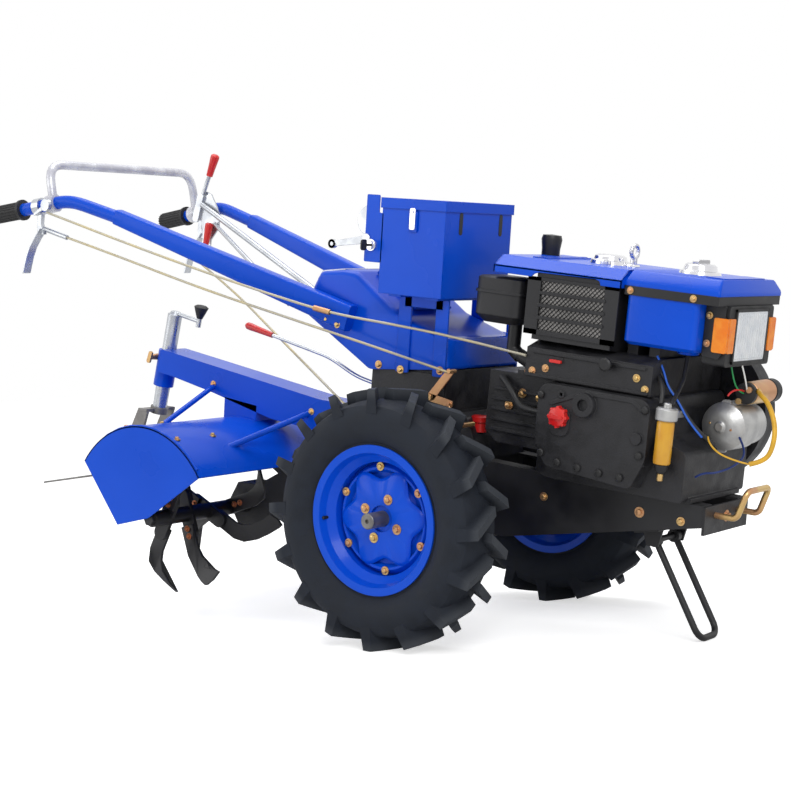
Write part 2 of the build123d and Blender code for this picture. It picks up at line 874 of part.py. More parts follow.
rotor_half = 392.0
rotor_radius = 205.0
holder_length = 132.0
holder_width = 40.0
holder_sheet = 10.0
tine_width = 32.0
tine_sheet = 8.0
tine_root = rotor_shaft_radius + 6
tine_reach = 50.0
tine_stations = (112, 188, 264, 338)


def station_turn(index, out):
    """How far round the shaft one pair of tines is set."""
    return 45 * 3 * index + (22.5 if out < 0 else 0)


def station_plane(index, out):
    """Plane across the shaft at one tine holder, its X axis along the pair of tines."""
    turn = radians(station_turn(index, out))
    return Plane(
        origin=at(rotor_x, out * tine_stations[index], rotor_z),
        x_dir=forward * cos(turn) + upward * sin(turn),
        z_dir=-leftward,
    )


with BuildPart() as rotor_shaft:
    with BuildSketch(side_plane(0, rotor_x, rotor_z)):
        Circle(rotor_shaft_radius)
    extrude(amount=rotor_half, both=True)
    for out in (-1, 1):
        with BuildSketch(side_plane(out * rotor_half, rotor_x, rotor_z)):
            RegularPolygon(16, 6)
        extrude(amount=-out * 12)
        for index in range(len(tine_stations)):
            with BuildSketch(station_plane(index, out)):
                SlotOverall(holder_length, holder_width)
            extrude(amount=holder_sheet / 2, both=True)
write(rotor_shaft, "rotor_shaft")

with BuildPart() as tines:
    for out in (-1, 1):
        for index in range(len(tine_stations)):
            for end in (-1, 1):
                seat = end * (holder_sheet + tine_sheet) / 2
                with BuildLine(station_plane(index, out)) as tine_path:
                    FilletPolyline(
                        (end * tine_root, 0, seat),
                        (end * rotor_radius - end * 8, 0, seat),
                        (end * rotor_radius - end * 4, 0, seat + end * tine_reach),
                        radius=34,
                    )
                across = station_plane(index, out).y_dir
                with BuildSketch(Plane(origin=tine_path.line @ 0, x_dir=across, z_dir=tine_path.line % 0)):
                    Rectangle(tine_width, tine_sheet)
                sweep()
write(tines, "tines")

hood_arc_x = -736.0
hood_arc_z = -128.0
hood_arc_radius = 242.0
hood_half = 412.0
guard_sheet = 3.0
with BuildPart() as tiller_hood:
    with BuildSketch(side_plane(0)):
        with BuildLine():
            arc = CenterArc((hood_arc_x, hood_arc_z), hood_arc_radius, 36, 112)
            Polyline(arc @ 1, (hood_arc_x, hood_arc_z), arc @ 0)
        make_face()
    extrude(amount=hood_half, both=True)
    with BuildSketch(side_plane(0)):
        with Locations((hood_arc_x, hood_arc_z)):
            Circle(hood_arc_radius - guard_sheet)
    extrude(amount=hood_half - guard_sheet, both=True, mode=Mode.SUBTRACT)
    with BuildSketch(side_plane(0)):
        with Locations((hood_arc_x + 160, hood_arc_z + 140)):
            Rectangle(190, 230)
    extrude(amount=case_width / 2 + 4, both=True, mode=Mode.SUBTRACT)
write(tiller_hood, "tiller_hood")

beam_half = 46.0
beam_rear_x = -1036.0
tail_x = -1063.0
tail_z = 240.0
tail_lean = 9.4
post_radius = 20.0
clamp_radius = 28.0
clamp_low_z = 150.0
clamp_high_z = 252.0
tail_up = upward * cos(radians(tail_lean)) + forward * sin(radians(tail_lean))
tail_out = forward * cos(radians(tail_lean)) - upward * sin(radians(tail_lean))


def tail_plane(height):
    """Plane across the tail post, at a height above its clamp's reference point."""
    return Plane(origin=at(tail_x, 0, tail_z) + tail_up * height, x_dir=tail_out, z_dir=tail_up)


with BuildPart() as tiller_beam:
    with BuildSketch(side_plane(0)):
        with BuildLine():
            Polyline(
                (case_rear_x, 136), (case_rear_x, 186), (-447, 192), (-965, 272), (beam_rear_x, 256),
                (beam_rear_x, 156), (-800, 150), (-441, 132),
                close=True,
            )
        make_face()
    extrude(amount=beam_half, both=True)
    with BuildSketch(tail_plane(-84)):
        Circle(clamp_radius)
        with Locations((clamp_radius, 0)):
            Rectangle(2 * clamp_radius, 40)
    extrude(amount=94)
    with BuildSketch(tail_plane(-90)):
        Circle(post_radius + shaft_gap)
    extrude(amount=110, mode=Mode.SUBTRACT)
    for strap_x in (-790, -700):
        with BuildSketch(side_plane(0, strap_x, 130)):
            Rectangle(24, 60)
        extrude(amount=beam_half, both=True)
    with BuildSketch(side_plane(0, hood_arc_x, hood_arc_z)):
        Circle(hood_arc_radius + seat_gap)
    extrude(amount=hood_half, both=True, mode=Mode.SUBTRACT)
write(tiller_beam, "tiller_beam")

tail_tube_length = 268.0
tail_top = 120.0
with BuildPart() as tail_tube:
    with BuildSketch(tail_plane(tail_top - tail_tube_length)):
        Circle(post_radius)
    extrude(amount=tail_tube_length)
write(tail_tube, "tail_tube")

with BuildPart() as tail_share:
    with BuildSketch(tail_plane(tail_top - tail_tube_length)):
        Rectangle(36, 90)
    extrude(amount=-8)
    for out in (-1, 1):
        with BuildSketch(side_plane(out * 38)):
            with BuildLine():
                Polyline(
                    (-1106, 92), (-1074, 90), (-1104, -30), (-1150, -96), (-1230, -132), (-1240, -100), (-1162, -56),
                    (-1134, -10),
                    close=True,
                )
            make_face()
        extrude(amount=4, both=True)
    with BuildSketch(Plane(origin=at(-1226, 0, -112), x_dir=forward + upward * 0.24, z_dir=upward - forward * 0.24)):
        with BuildLine():
            Polyline((0, 42), (-120, 60), (-340, 0), (-120, -60), (0, -42), close=True)
        make_face()
    extrude(amount=6)
write(tail_share, "tail_share")
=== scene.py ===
"""Looks of a walk-behind power tiller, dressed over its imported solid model."""

from math import asin, atan2, cos, hypot, radians, sin

import bmesh
import bpy
import numpy as np
from mathutils import Matrix, Vector


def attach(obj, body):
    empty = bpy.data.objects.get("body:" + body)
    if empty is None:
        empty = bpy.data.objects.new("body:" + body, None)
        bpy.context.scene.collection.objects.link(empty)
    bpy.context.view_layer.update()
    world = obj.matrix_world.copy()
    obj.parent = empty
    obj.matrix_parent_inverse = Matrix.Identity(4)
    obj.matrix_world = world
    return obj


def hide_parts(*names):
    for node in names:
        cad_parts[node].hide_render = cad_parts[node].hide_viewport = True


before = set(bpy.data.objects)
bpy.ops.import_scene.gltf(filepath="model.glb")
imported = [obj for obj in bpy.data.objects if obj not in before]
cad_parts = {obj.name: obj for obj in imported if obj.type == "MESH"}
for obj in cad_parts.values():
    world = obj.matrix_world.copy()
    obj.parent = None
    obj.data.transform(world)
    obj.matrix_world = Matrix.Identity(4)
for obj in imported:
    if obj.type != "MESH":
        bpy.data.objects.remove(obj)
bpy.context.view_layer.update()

# Studio: a pale floor under a plain white world, lit by three soft lamps.  The camera stands at
# the right front, 4.4 m from the machine and 0.72 m above the ground, as the photograph's does.
sensor, focal_pixels, image_pixels = 36, 1705.4, 791
camera_place = (2.7427, -3.4155, 0.7229)
camera_data = bpy.data.cameras.new("camera")
camera_data.sensor_width = sensor
camera_data.lens = sensor * focal_pixels / image_pixels
camera_data.clip_end = 60
camera = bpy.data.objects.new("camera", camera_data)
bpy.context.scene.collection.objects.link(camera)
yaw, dip, roll = 0.6476, 0.0402, -0.0440
look = Vector((-sin(yaw) * cos(dip), cos(yaw) * cos(dip), -sin(dip)))
level = Vector((cos(yaw), sin(yaw), 0))
over = level.cross(look)
right = level * cos(roll) + over * sin(roll)
up = over * cos(roll) - level * sin(roll)
camera.matrix_world = Matrix((
    (right.x, up.x, -look.x, camera_place[0]),
    (right.y, up.y, -look.y, camera_place[1]),
    (right.z, up.z, -look.z, camera_place[2]),
    (0, 0, 0, 1),
))
bpy.context.scene.camera = camera
bpy.context.scene.view_settings.view_transform = "Standard"


def add_node(tree, kind, settings=None, **inputs):
    """Adds a shader node; each input takes a value or another node's output socket."""
    made = tree.nodes.new(kind)
    for key, value in (settings or {}).items():
        setattr(made, key, value)
    for key, value in inputs.items():
        socket = made.inputs[int(key[1:])] if key[0] == "_" else made.inputs[key.replace("_", " ")]
        if isinstance(value, bpy.types.NodeSocket):
            tree.links.new(value, socket)
        else:
            socket.default_value = value
    return made


world = bpy.data.worlds.new("studio")
bpy.context.scene.world = world
world.use_nodes = True
sky = world.node_tree
rays = add_node(sky, "ShaderNodeLightPath")
seen = add_node(
    sky, "ShaderNodeMath", {"operation": "MAXIMUM"},
    _0=rays.outputs["Is Camera Ray"], _1=rays.outputs["Is Glossy Ray"],
)
seen = add_node(
    sky, "ShaderNodeMath", {"operation": "MAXIMUM"}, _0=seen.outputs[0],
    _1=rays.outputs["Is Transmission Ray"],
)
strength = add_node(sky, "ShaderNodeMapRange", _0=seen.outputs[0], _3=0.5, _4=1.0)
sky.nodes["Background"].inputs["Color"].default_value = (1, 1, 1, 1)
sky.links.new(strength.outputs[0], sky.nodes["Background"].inputs["Strength"])

floor_mesh = bpy.data.meshes.new("floor")
floor_mesh.from_pydata([(-14, -14, 0), (14, -14, 0), (14, 14, 0), (-14, 14, 0)], [], [(0, 1, 2, 3)])
floor = bpy.data.objects.new("floor", floor_mesh)
bpy.context.scene.collection.objects.link(floor)
floor_material = bpy.data.materials.new("pale_floor")
floor_material.use_nodes = True
floor_tree = floor_material.node_tree
floor_shader = floor_tree.nodes["Principled BSDF"]
floor_shader.inputs["Roughness"].default_value = 0.9
floor_shader.inputs["Base Color"].default_value = (0.9, 0.9, 0.9, 1)
floor_shader.inputs["Emission Color"].default_value = (1, 1, 1, 1)
floor_rays = add_node(floor_tree, "ShaderNodeLightPath")
floor_glow = add_node(
    floor_tree, "ShaderNodeMath", {"operation": "MULTIPLY"}, _0=floor_rays.outputs["Is Camera Ray"], _1=0.6,
)
floor_tree.links.new(floor_glow.outputs[0], floor_shader.inputs["Emission Strength"])
floor_mesh.materials.append(floor_material)

aim = Vector((0, 0, 0.5))
for name, place, size, power in (
    ("key_lamp", (3.6, -3.4, 3.6), 2.4, 120),
    ("fill_lamp", (-3.4, -3.6, 2.2), 3.0, 42),
    ("top_lamp", (-0.4, 0.6, 4.2), 3.0, 85),
):
    lamp_data = bpy.data.lights.new(name, "AREA")
    lamp_data.energy = power
    lamp_data.size = size
    lamp = bpy.data.objects.new(name, lamp_data)
    bpy.context.scene.collection.objects.link(lamp)
    lamp.location = place
    lamp.rotation_euler = (aim - Vector(place)).to_track_quat("-Z", "Y").to_euler()


# Tyres: 5.00-12 cross-plies of moulded rubber with tall bar lugs.  Dust greys the lugs, and the
# walls keep a darker mould finish.
def mottled():
    """Group: a smooth noise cut to a mask, and a finer noise as a height for bumps."""
    group = bpy.data.node_groups.new("mottle", "ShaderNodeTree")
    for name, value in (("Scale", 20.0), ("Fine", 6.0), ("Low", 0.35), ("High", 0.65)):
        socket = group.interface.new_socket(name, in_out="INPUT", socket_type="NodeSocketFloat")
        socket.default_value = value
    group.interface.new_socket("Mask", in_out="OUTPUT", socket_type="NodeSocketFloat")
    group.interface.new_socket("Height", in_out="OUTPUT", socket_type="NodeSocketFloat")
    enter = add_node(group, "NodeGroupInput")
    place = add_node(group, "ShaderNodeTexCoord").outputs["Object"]
    broad = add_node(group, "ShaderNodeTexNoise", Vector=place, Scale=enter.outputs["Scale"], Detail=4.0)
    finer = add_node(
        group, "ShaderNodeMath", {"operation": "MULTIPLY"}, _0=enter.outputs["Scale"],
        _1=enter.outputs["Fine"],
    )
    grain = add_node(group, "ShaderNodeTexNoise", Vector=place, Scale=finer.outputs[0], Detail=2.0)
    mask = add_node(
        group, "ShaderNodeMapRange", {"interpolation_type": "SMOOTHSTEP"},
        _0=broad.outputs["Fac"], _1=enter.outputs["Low"], _2=enter.outputs["High"],
    )
    add_node(group, "NodeGroupOutput", Mask=mask.outputs[0], Height=grain.outputs["Fac"])
    return group


mottle = mottled()


def finish(name, slot, colour, second, roughness, rough_change, metallic=0.0, coat=0.0,
           scale=20.0, fine=8.0, bump=0.1, edge=0.0015, shine=0.4):
    """Material: two close colours and two roughnesses mixed by the mottle, a fine bump from its
    grain, and edges softened over a radius in metres."""
    material = bpy.data.materials.new(name)
    material.use_nodes = True
    material["slot"] = slot
    tree = material.node_tree
    shader = tree.nodes["Principled BSDF"]
    shader.inputs["Metallic"].default_value = metallic
    shader.inputs["Coat Weight"].default_value = coat
    shader.inputs["Coat Roughness"].default_value = 0.12
    shader.inputs["Specular IOR Level"].default_value = shine
    grain = add_node(tree, "ShaderNodeGroup", {"node_tree": mottle}, Scale=scale, Fine=fine)
    hue = add_node(
        tree, "ShaderNodeMix", {"data_type": "RGBA"}, _0=grain.outputs["Mask"], _6=(*colour, 1),
        _7=(*second, 1),
    )
    tree.links.new(hue.outputs[2], shader.inputs["Base Color"])
    rough = add_node(
        tree, "ShaderNodeMapRange", _0=grain.outputs["Mask"], _3=roughness, _4=roughness + rough_change,
    )
    tree.links.new(rough.outputs[0], shader.inputs["Roughness"])
    soft = add_node(tree, "ShaderNodeBevel", {"samples": 4}, Radius=edge)
    relief = add_node(
        tree, "ShaderNodeBump", Strength=bump, Distance=0.001,
        Height=grain.outputs["Height"], Normal=soft.outputs[0],
    )
    tree.links.new(relief.outputs[0], shader.inputs["Normal"])
    return material


def dress(material, *names):
    """Gives CAD nodes a material in all their slots."""
    for name in names:
        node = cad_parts[name]
        if not node.material_slots:
            node.data.materials.append(material)
        for slot in node.material_slots:
            slot.material = material


axle_x, axle_z = 396, 295
tread_start, tread_end = 0.268, 0.292
tyre_rubber = finish(
    "tyre_rubber", "tyre", (0.011, 0.014, 0.021), (0.018, 0.022, 0.031), 0.6, 0.2, scale=26, fine=14,
    bump=0.35, edge=0.002,
    shine=0.22,
)
tread = tyre_rubber.node_tree
tread_place = add_node(tread, "ShaderNodeTexCoord").outputs["Object"]
from_axle = add_node(tread, "ShaderNodeVectorMath", {"operation": "SUBTRACT"}, _0=tread_place,
                     _1=(axle_x / 1000, 0, axle_z / 1000))
flat = add_node(
    tread, "ShaderNodeVectorMath", {"operation": "MULTIPLY"}, _0=from_axle.outputs[0], _1=(1, 0, 1),
)
from_centre = add_node(tread, "ShaderNodeVectorMath", {"operation": "LENGTH"}, _0=flat.outputs[0])
dust = add_node(
    tread, "ShaderNodeMapRange", {"interpolation_type": "SMOOTHSTEP"}, _0=from_centre.outputs["Value"],
    _1=tread_start, _2=tread_end,
)
dusty = add_node(
    tread, "ShaderNodeMix", {"data_type": "RGBA"}, _0=dust.outputs[0], _7=(0.042, 0.047, 0.056, 1),
)
tread_colour = tread.nodes["Principled BSDF"].inputs["Base Color"]
tread.links.new(tread_colour.links[0].from_socket, dusty.inputs[6])
tread.links.new(dusty.outputs[2], tread_colour)
dress(tyre_rubber, "tyre_right", "tyre_left")

# Wheels: pressed steel rims and discs in gloss blue enamel.  A six-lobed pressing stiffens the
# disc, six gold bolts hold it to the rim and four to the hub, and a rubber valve leans out.
blue_enamel = finish(
    "blue_enamel", "blue_paint", (0.0005, 0.067, 0.58), (0.001, 0.077, 0.64), 0.26, 0.07, scale=3, fine=60,
    bump=0.05,
    edge=0.003, coat=0.12, shine=0.16,
)
dress(blue_enamel, "wheel_right", "wheel_left")
yellow_zinc = finish(
    "yellow_zinc", "zinc", (0.62, 0.43, 0.17), (0.56, 0.3, 0.16), 0.28, 0.14, metallic=0.85, scale=14,
    fine=12, bump=0.12,
)
black_plastic = finish(
    "black_plastic", "rubber", (0.010, 0.010, 0.011), (0.016, 0.016, 0.017), 0.42, 0.15, scale=30, fine=16,
    bump=0.2,
)
foot_x, foot_drop, foot_radius = 638, 206, 7.5
nose_down = asin((axle_z - foot_radius) / hypot(foot_x, foot_drop)) - atan2(foot_drop, foot_x)
disc_level, rim_circle, hub_circle = 380, 118, 49
first_bolt, first_hub_bolt = radians(97.5), radians(70)


def placed(points):
    """Machine points in millimetres from the axle -> row-frame metres: turned by the parking
    angle about the axle, then moved to the axle's place."""
    x, y, z = points[..., 0], points[..., 1], points[..., 2]
    ahead = x * cos(nose_down) + z * sin(nose_down) + axle_x
    above = z * cos(nose_down) - x * sin(nose_down) + axle_z
    return np.stack([ahead, y, above], axis=-1) / 1000


def lofted(points, rings, closed=False):
    """Shape over equal rings of points, listed ring after ring: quads join each ring to the next,
    and two end faces shut it, or else quads from the last ring back to the first."""
    total = len(points)
    sides = total // rings
    k = np.arange(sides)
    ring = np.arange(rings if closed else rings - 1)[:, None] * sides
    first, after = (ring + k).ravel(), (ring + (k + 1) % sides).ravel()
    quads = np.stack([first, after, (after + sides) % total, (first + sides) % total], axis=-1)
    return points, quads, [] if closed else [k, k + total - sides]


def turned(axis, start, rows, sides=32):
    """Solid of revolution: each row gives a distance along the axis (0, 1 or 2) from the start
    point and a radius; ring k of every row stands at the angle k * 360 / sides."""
    rows = np.array(rows, float)
    angle = np.arange(sides) * 2 * np.pi / sides
    along = np.repeat(rows[:, :1], sides, axis=1)
    ring = [rows[:, 1:] * np.cos(angle), rows[:, 1:] * np.sin(angle)]
    ring.insert(axis, along)
    points = (np.stack(ring, axis=-1) + np.array(start, float)).reshape(-1, 3)
    return lofted(points, len(rows))


def add_piece(name, shapes, material, body="machine", instead=(), sharp=35):
    """One mesh of several closed shapes: moved to the row frame, doubles merged, normals turned
    outwards, smooth but for edges over the sharp angle."""
    points, faces, start = [], [], 0
    for shape_points, quads, ends in shapes:
        points.append(placed(shape_points))
        faces += (quads + start).tolist() + [(end + start).tolist() for end in ends]
        start += len(shape_points)
    mesh = bpy.data.meshes.new(name)
    mesh.from_pydata(np.concatenate(points).tolist(), [], faces)
    shape = bmesh.new()
    shape.from_mesh(mesh)
    bmesh.ops.remove_doubles(shape, verts=shape.verts, dist=1e-6)
    bmesh.ops.recalc_face_normals(shape, faces=shape.faces)
    shape.to_mesh(mesh)
    shape.free()
    mesh.shade_smooth()
    mesh.set_sharp_from_angle(angle=radians(sharp))
    mesh.materials.append(material)
    piece = bpy.data.objects.new(name, mesh)
    bpy.context.scene.collection.objects.link(piece)
    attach(piece, body)
    if instead:
        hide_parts(*instead)


def bolt(axis, place, out, size, height=6.0):
    """Hexagon head on its washer, seated at a place and standing out along an axis."""
    flat, crown = size * 0.6, size * 0.45
    head = [(-2 * out, flat), (height * out, flat), ((height + 1) * out, crown)]
    return [turned(axis, place, head, 6), turned(axis, place, [(-2 * out, size), (1.6 * out, size)], 20)]


def lobes(y, out, rise, sides=96):
    """Disc pressing: rings whose radius is 104 - 14 cos(6 (angle - first bolt)) plus an inset, so
    that it reaches out between the rim bolts and draws in at each of them."""
    angle = np.arange(sides) * 2 * np.pi / sides
    wave = 104 - 14 * np.cos(6 * (angle - first_bolt))
    rows = [(y - 2 * out, 0.0), (y, 0.0), (y + 0.6 * rise * out, -5.0), (y + rise * out, -10.0)]
    reaches = [wave + inset for _, inset in rows] + [np.full(sides, 30.0), np.full(sides, 30.0)]
    levels = [level for level, _ in rows] + [y + rise * out, y - 2 * out]
    points = np.stack([
        np.concatenate([r * np.cos(angle) for r in reaches]),
        np.repeat(levels, sides),
        np.concatenate([r * np.sin(angle) for r in reaches]),
    ], axis=-1)
    return lofted(points, len(levels), closed=True)


for side, out in (("right", -1), ("left", 1)):
    disc_y = disc_level * out
    add_piece(f"disc_pressing_{side}", [lobes(disc_y, out, 7)], blue_enamel, f"wheel_{side}")
    bolts = []
    for turn in range(6):
        angle = first_bolt + radians(60 * turn)
        bolts += bolt(1, (rim_circle * cos(angle), disc_y, rim_circle * sin(angle)), out, 10)
    for turn in range(4):
        angle = first_hub_bolt + radians(90 * turn)
        place = (hub_circle * cos(angle), disc_y + 7 * out, hub_circle * sin(angle))
        bolts += bolt(1, place, out, 12, 8)
    add_piece(f"wheel_bolts_{side}", bolts, yellow_zinc, f"wheel_{side}")
    valve = [
        turned(1, (-144, disc_y + 4 * out, -18), [
            (-14 * out, 7), (4 * out, 7), (12 * out, 4), (30 * out, 4), (32 * out, 3),
        ], 16),
    ]
    add_piece(f"valve_{side}", valve, black_plastic, f"wheel_{side}")

# Frame and gearbox: two black pressed rails that carry the engine, a black case between the
# wheels, worn steel axles, a black plate with its bolt and a zinc-plated bumper rod in front.
black_enamel = finish(
    "black_enamel", "black_paint", (0.009, 0.009, 0.011), (0.016, 0.016, 0.018), 0.34, 0.14, scale=9, fine=30,
    bump=0.12,
    edge=0.002,
)
black_casting = finish(
    "black_casting", "black_casting", (0.010, 0.010, 0.012), (0.020, 0.020, 0.023), 0.42, 0.2, scale=24,
    fine=9, bump=0.5,
    edge=0.0025,
)
worn_steel = finish(
    "worn_steel", "steel", (0.16, 0.155, 0.15), (0.26, 0.25, 0.24), 0.4, 0.2, metallic=0.7, scale=18, fine=10,
    bump=0.3,
)
red_plastic = finish(
    "red_plastic", "red_plastic", (0.6, 0.01, 0.012), (0.68, 0.02, 0.016), 0.3, 0.1, scale=20, fine=10,
    bump=0.08, coat=0.3,
)
dress(black_enamel, "rail_right", "rail_left", "front_stand", "stand_bracket")
dress(black_casting, "gearbox", "front_plate")
dress(worn_steel, "axle_right", "axle_left")
dress(yellow_zinc, "bumper_rod")
frame_bolts = bolt(0, (655, 0, 70), 1, 13, 9) + bolt(1, (498, -105, 64), -1, 12)
for x in (60, 250, 600):
    frame_bolts += bolt(1, (x, -105, 60), -1, 10) + bolt(1, (x, 105, 60), 1, 10)
add_piece("frame_bolts", frame_bolts, yellow_zinc)
add_piece("filler_cap", [
    turned(2, (30, -60, 190), [(-12, 17), (10, 17), (12, 21), (24, 21), (27, 16), (27, 0.01)]),
], red_plastic)

# Engine: one horizontal cylinder in a black cast block, with a bolted gear cover, a finned head
# behind it and a top cover that carries tank and radiator.
seat_x, seat_z, lean = 400, 109.73, radians(2)
cover_face, roof_side = -190, 165


def prism(axis, outline, low, high, shrink=0.0):
    """Solid between two levels along an axis: the closed outline gives the two other
    coordinates in order, and the far end is drawn in towards its middle by a share."""
    flat = np.array(outline, float)
    far = flat + (flat.mean(axis=0) - flat) * shrink
    both = np.concatenate([flat, far])
    return lofted(np.insert(both, axis, np.repeat([low, high], len(flat)), axis=1), 2)


def eased(c, before, after, radius, most, steps):
    """Corners c with the edges before and after them -> curves (1-t)^2 a + 2t(1-t) c + t^2 b, with
    a and b on the two edges, a radius away but no further than a share of the edge."""
    a = c + before * np.minimum(radius / np.linalg.norm(before, axis=1), most)[:, None]
    b = c + after * np.minimum(radius / np.linalg.norm(after, axis=1), most)[:, None]
    t = np.linspace(0, 1, steps)[None, :, None]
    curve = (1 - t) ** 2 * a[:, None] + 2 * t * (1 - t) * c[:, None] + t ** 2 * b[:, None]
    return curve.reshape(-1, c.shape[1])


def rounded(corners, radius):
    """Closed outline with its corners eased into curves of five points."""
    c = np.array(corners, float)
    return eased(c, np.roll(c, 1, axis=0) - c, np.roll(c, -1, axis=0) - c, radius, 0.48, 5)


def oblong(corner, opposite, radius=0):
    """Rectangular outline from two opposite corners, rounded where a radius is given."""
    (a, b), (c, d) = corner, opposite
    corners = [(a, b), (c, b), (c, d), (a, d)]
    return rounded(corners, radius) if radius else corners


def plate(axis, corner, opposite, low, high, radius=0):
    """Rectangular block or plate between two levels along an axis."""
    return prism(axis, oblong(corner, opposite, radius), low, high)


def pair(outline, near, far):
    """The same plate on the right and on the left, between two distances from the middle."""
    return [prism(1, outline, near * out, far * out) for out in (-1, 1)]


def on_engine(shape):
    """Engine shape -> machine shape: leaned forward on the rails' seat."""
    points, quads, ends = shape
    u, y, w = points.T
    x = seat_x + u * cos(lean) + w * sin(lean)
    return np.stack([x, y, seat_z + w * cos(lean) - u * sin(lean)], axis=-1), quads, ends


def add_engine(name, shapes, material, instead=()):
    """A piece drawn in the engine's frame."""
    add_piece(name, [on_engine(shape) for shape in shapes], material, instead=instead)


add_engine("crankcase", [
    prism(1, rounded([
        (-150, 8), (-150, 220), (-40, 222), (142, 222), (152, 200), (160, 134), (218, 112), (219, 4),
        (-120, 0),
    ], 10), -150, 150),
    prism(1, [(148, 30), (200, 20), (226, 12), (226, 2), (148, 2)], -118, 118),
], black_casting, ["engine_block"])
cover_outline = rounded([
    (-142, 86), (-142, 205), (-126, 220), (130, 220), (147, 205), (147, 84), (116, 16), (-108, 30),
], 14)
cover_shapes = [
    prism(1, cover_outline, -150, cover_face, 0.03),
    turned(1, (-16, cover_face, 184), [(2, 28), (-10, 28), (-14, 26), (-14, 13), (-4, 13), (-4, 0.01)]),
    prism(1, rounded([(-101, 106), (-51, 106), (-47, 168), (-97, 172)], 22), cover_face, -195),
    turned(1, (-78, cover_face, 198), [(0, 9), (-4, 9), (-4, 4), (0, 4)], 20),
    turned(1, (118, cover_face, 132), [(0, 14), (-6, 13), (-6, 0.01)], 24),
    prism(1, rounded([
        (-110, 178), (-20, 214), (100, 214), (134, 190), (134, 182), (98, 206), (-18, 206), (-104, 170),
    ], 6), -189, -192.5),
]
for height in (76, 92, 108):
    cover_shapes += [plate(1, (u - 13, height - 3), (u + 13, height + 3), -150, -186, 3) for u in (-124, 128)]
low_row = ((-71, 47), (-19, 44), (36, 42), (87, 41))
for u, w in low_row:
    cover_shapes.append(turned(1, (u, -186, w), [(0, 17), (-3, 17), (-3.5, 13), (-3.5, 0.01)], 24))
add_engine("timing_cover", cover_shapes, black_casting, ["gear_cover"])
add_engine("cover_bolts", [
    turned(1, (u, -188, w), [(0, 9), (-7, 8.5), (-10, 6), (-11, 0.01)], 20)
    for u, w in low_row + ((128, 96), (-130, 190), (132, 196), (-116, 62))
], black_plastic)
add_engine("oil_filler", [
    turned(1, (-75, -195, 149), [(0, 21), (-14, 21), (-16, 18), (-16, 0.01)], 48),
    plate(1, (-93, 145), (-57, 153), -209, -216, 3),
] + [
    turned(1, (-75 + 21 * cos(turn), -195, 149 + 21 * sin(turn)), [(0, 4), (-13, 4), (-14, 0.01)], 12)
    for turn in np.arange(8) * 0.785
], red_plastic, ["oil_cap"])
roof = [(-165, 222), (-165, 288), (-120, 302), (120, 302), (165, 288), (165, 222)]
top_shapes = [prism(0, roof, -195, 126)]
for out in (-1, 1):
    top_shapes += [
        plate(1, (-178, 277), (110, 284), 164 * out, 169 * out, 3),
        plate(1, (-190, 224), (120, 231), 164 * out, 169 * out, 3),
        plate(1, (-134, 262), (-98, 276), 165 * out, 167 * out, 4),
    ]
top_shapes += [plate(2, (u - 13, -110), (u + 13, 110), 302, 326) for u in (42, 96)]
add_engine("valve_cover", top_shapes, black_casting, ["top_cover"])
add_engine("stop_lever", [plate(1, (-130, 262), (-100, 269), -167, -173, 3)], red_plastic)
add_engine("cover_knob", [
    turned(1, (18, -roof_side, 278), [(0, 8), (-12, 8), (-12, 14), (-20, 15), (-23, 11), (-23, 0.01)], 28),
], black_plastic)
head = [prism(1, [(-150, 50), (-150, 216), (-322, 216), (-322, 76), (-290, 50)], -112, 112)]
head += [plate(1, (-307, w - 3), (-165, w + 3), -119, 119, 2) for w in (80, 104, 128, 152, 176)]
head.append(plate(0, (-92, 92), (92, 188), -322, -305, 14))
add_engine("finned_head", head, black_casting, ["cylinder_head"])
engine_bolts = []
for u, w in ((-142, 246), (89, 258), (-176, 236), (112, 236)):
    engine_bolts += bolt(1, (u, -roof_side, w), -1, 9)
for u, w in ((-217, 226), (-228, 173), (-181, 170), (-262, 140)):
    engine_bolts += bolt(1, (u, -113, w), -1, 11, 9)
for u, y, w in ((170, -120, 113), (206, -134, 106), (206, 134, 106)):
    engine_bolts += bolt(2, (u, y, w), 1, 10)
add_engine("engine_bolts", engine_bolts, yellow_zinc)

# Flywheel and starter: a heavy cast flywheel on the left with the belt pulley beside it, and a
# cast-alloy starter motor against the block, with its gold solenoid and black end caps above.
cast_alloy = finish(
    "cast_alloy", "steel", (0.5, 0.5, 0.49), (0.4, 0.4, 0.4), 0.36, 0.16, metallic=0.8, scale=26, fine=14,
    bump=0.4,
)
shaft_u, shaft_w = 78, 170
flywheel = turned(1, (shaft_u, 0, shaft_w), [
    (140, 34), (170, 34), (170, 166), (222, 166), (222, 142), (212, 138), (212, 52), (222, 50), (222, 71),
    (230, 71), (232, 62), (238, 62), (240, 71), (245, 71), (247, 62), (254, 62), (256, 71), (261, 71),
    (263, 62), (270, 62), (272, 71), (276, 71), (276, 46), (264, 44), (264, 20), (276, 18), (276, 0.01),
], 72)
add_engine("flywheel_casting", [flywheel], black_casting, ["flywheel"])
starter_at, solenoid_at = (225, 0, 163), (262, 0, 241)
starter = [
    turned(1, starter_at, [
        (-18, 20), (-14, 34), (-4, 46), (0, 52), (6, 54), (70, 54), (72, 50), (118, 48), (120, 44),
    ], 44),
    turned(1, starter_at, [(-24, 0.01), (-24, 9), (-17, 14), (-14, 20)], 24),
    plate(1, (213, 104), (237, 222), 2, 9, 10),
]
add_engine("starter_motor", starter, cast_alloy)
add_engine("solenoid", [
    turned(1, solenoid_at, [(24, 22), (26, 25), (118, 26), (122, 22)], 36),
    turned(1, (249, 0, 222), [(8, 7), (30, 7)], 16),
    turned(1, (271, 0, 250), [(8, 7), (30, 7)], 16),
], yellow_zinc)
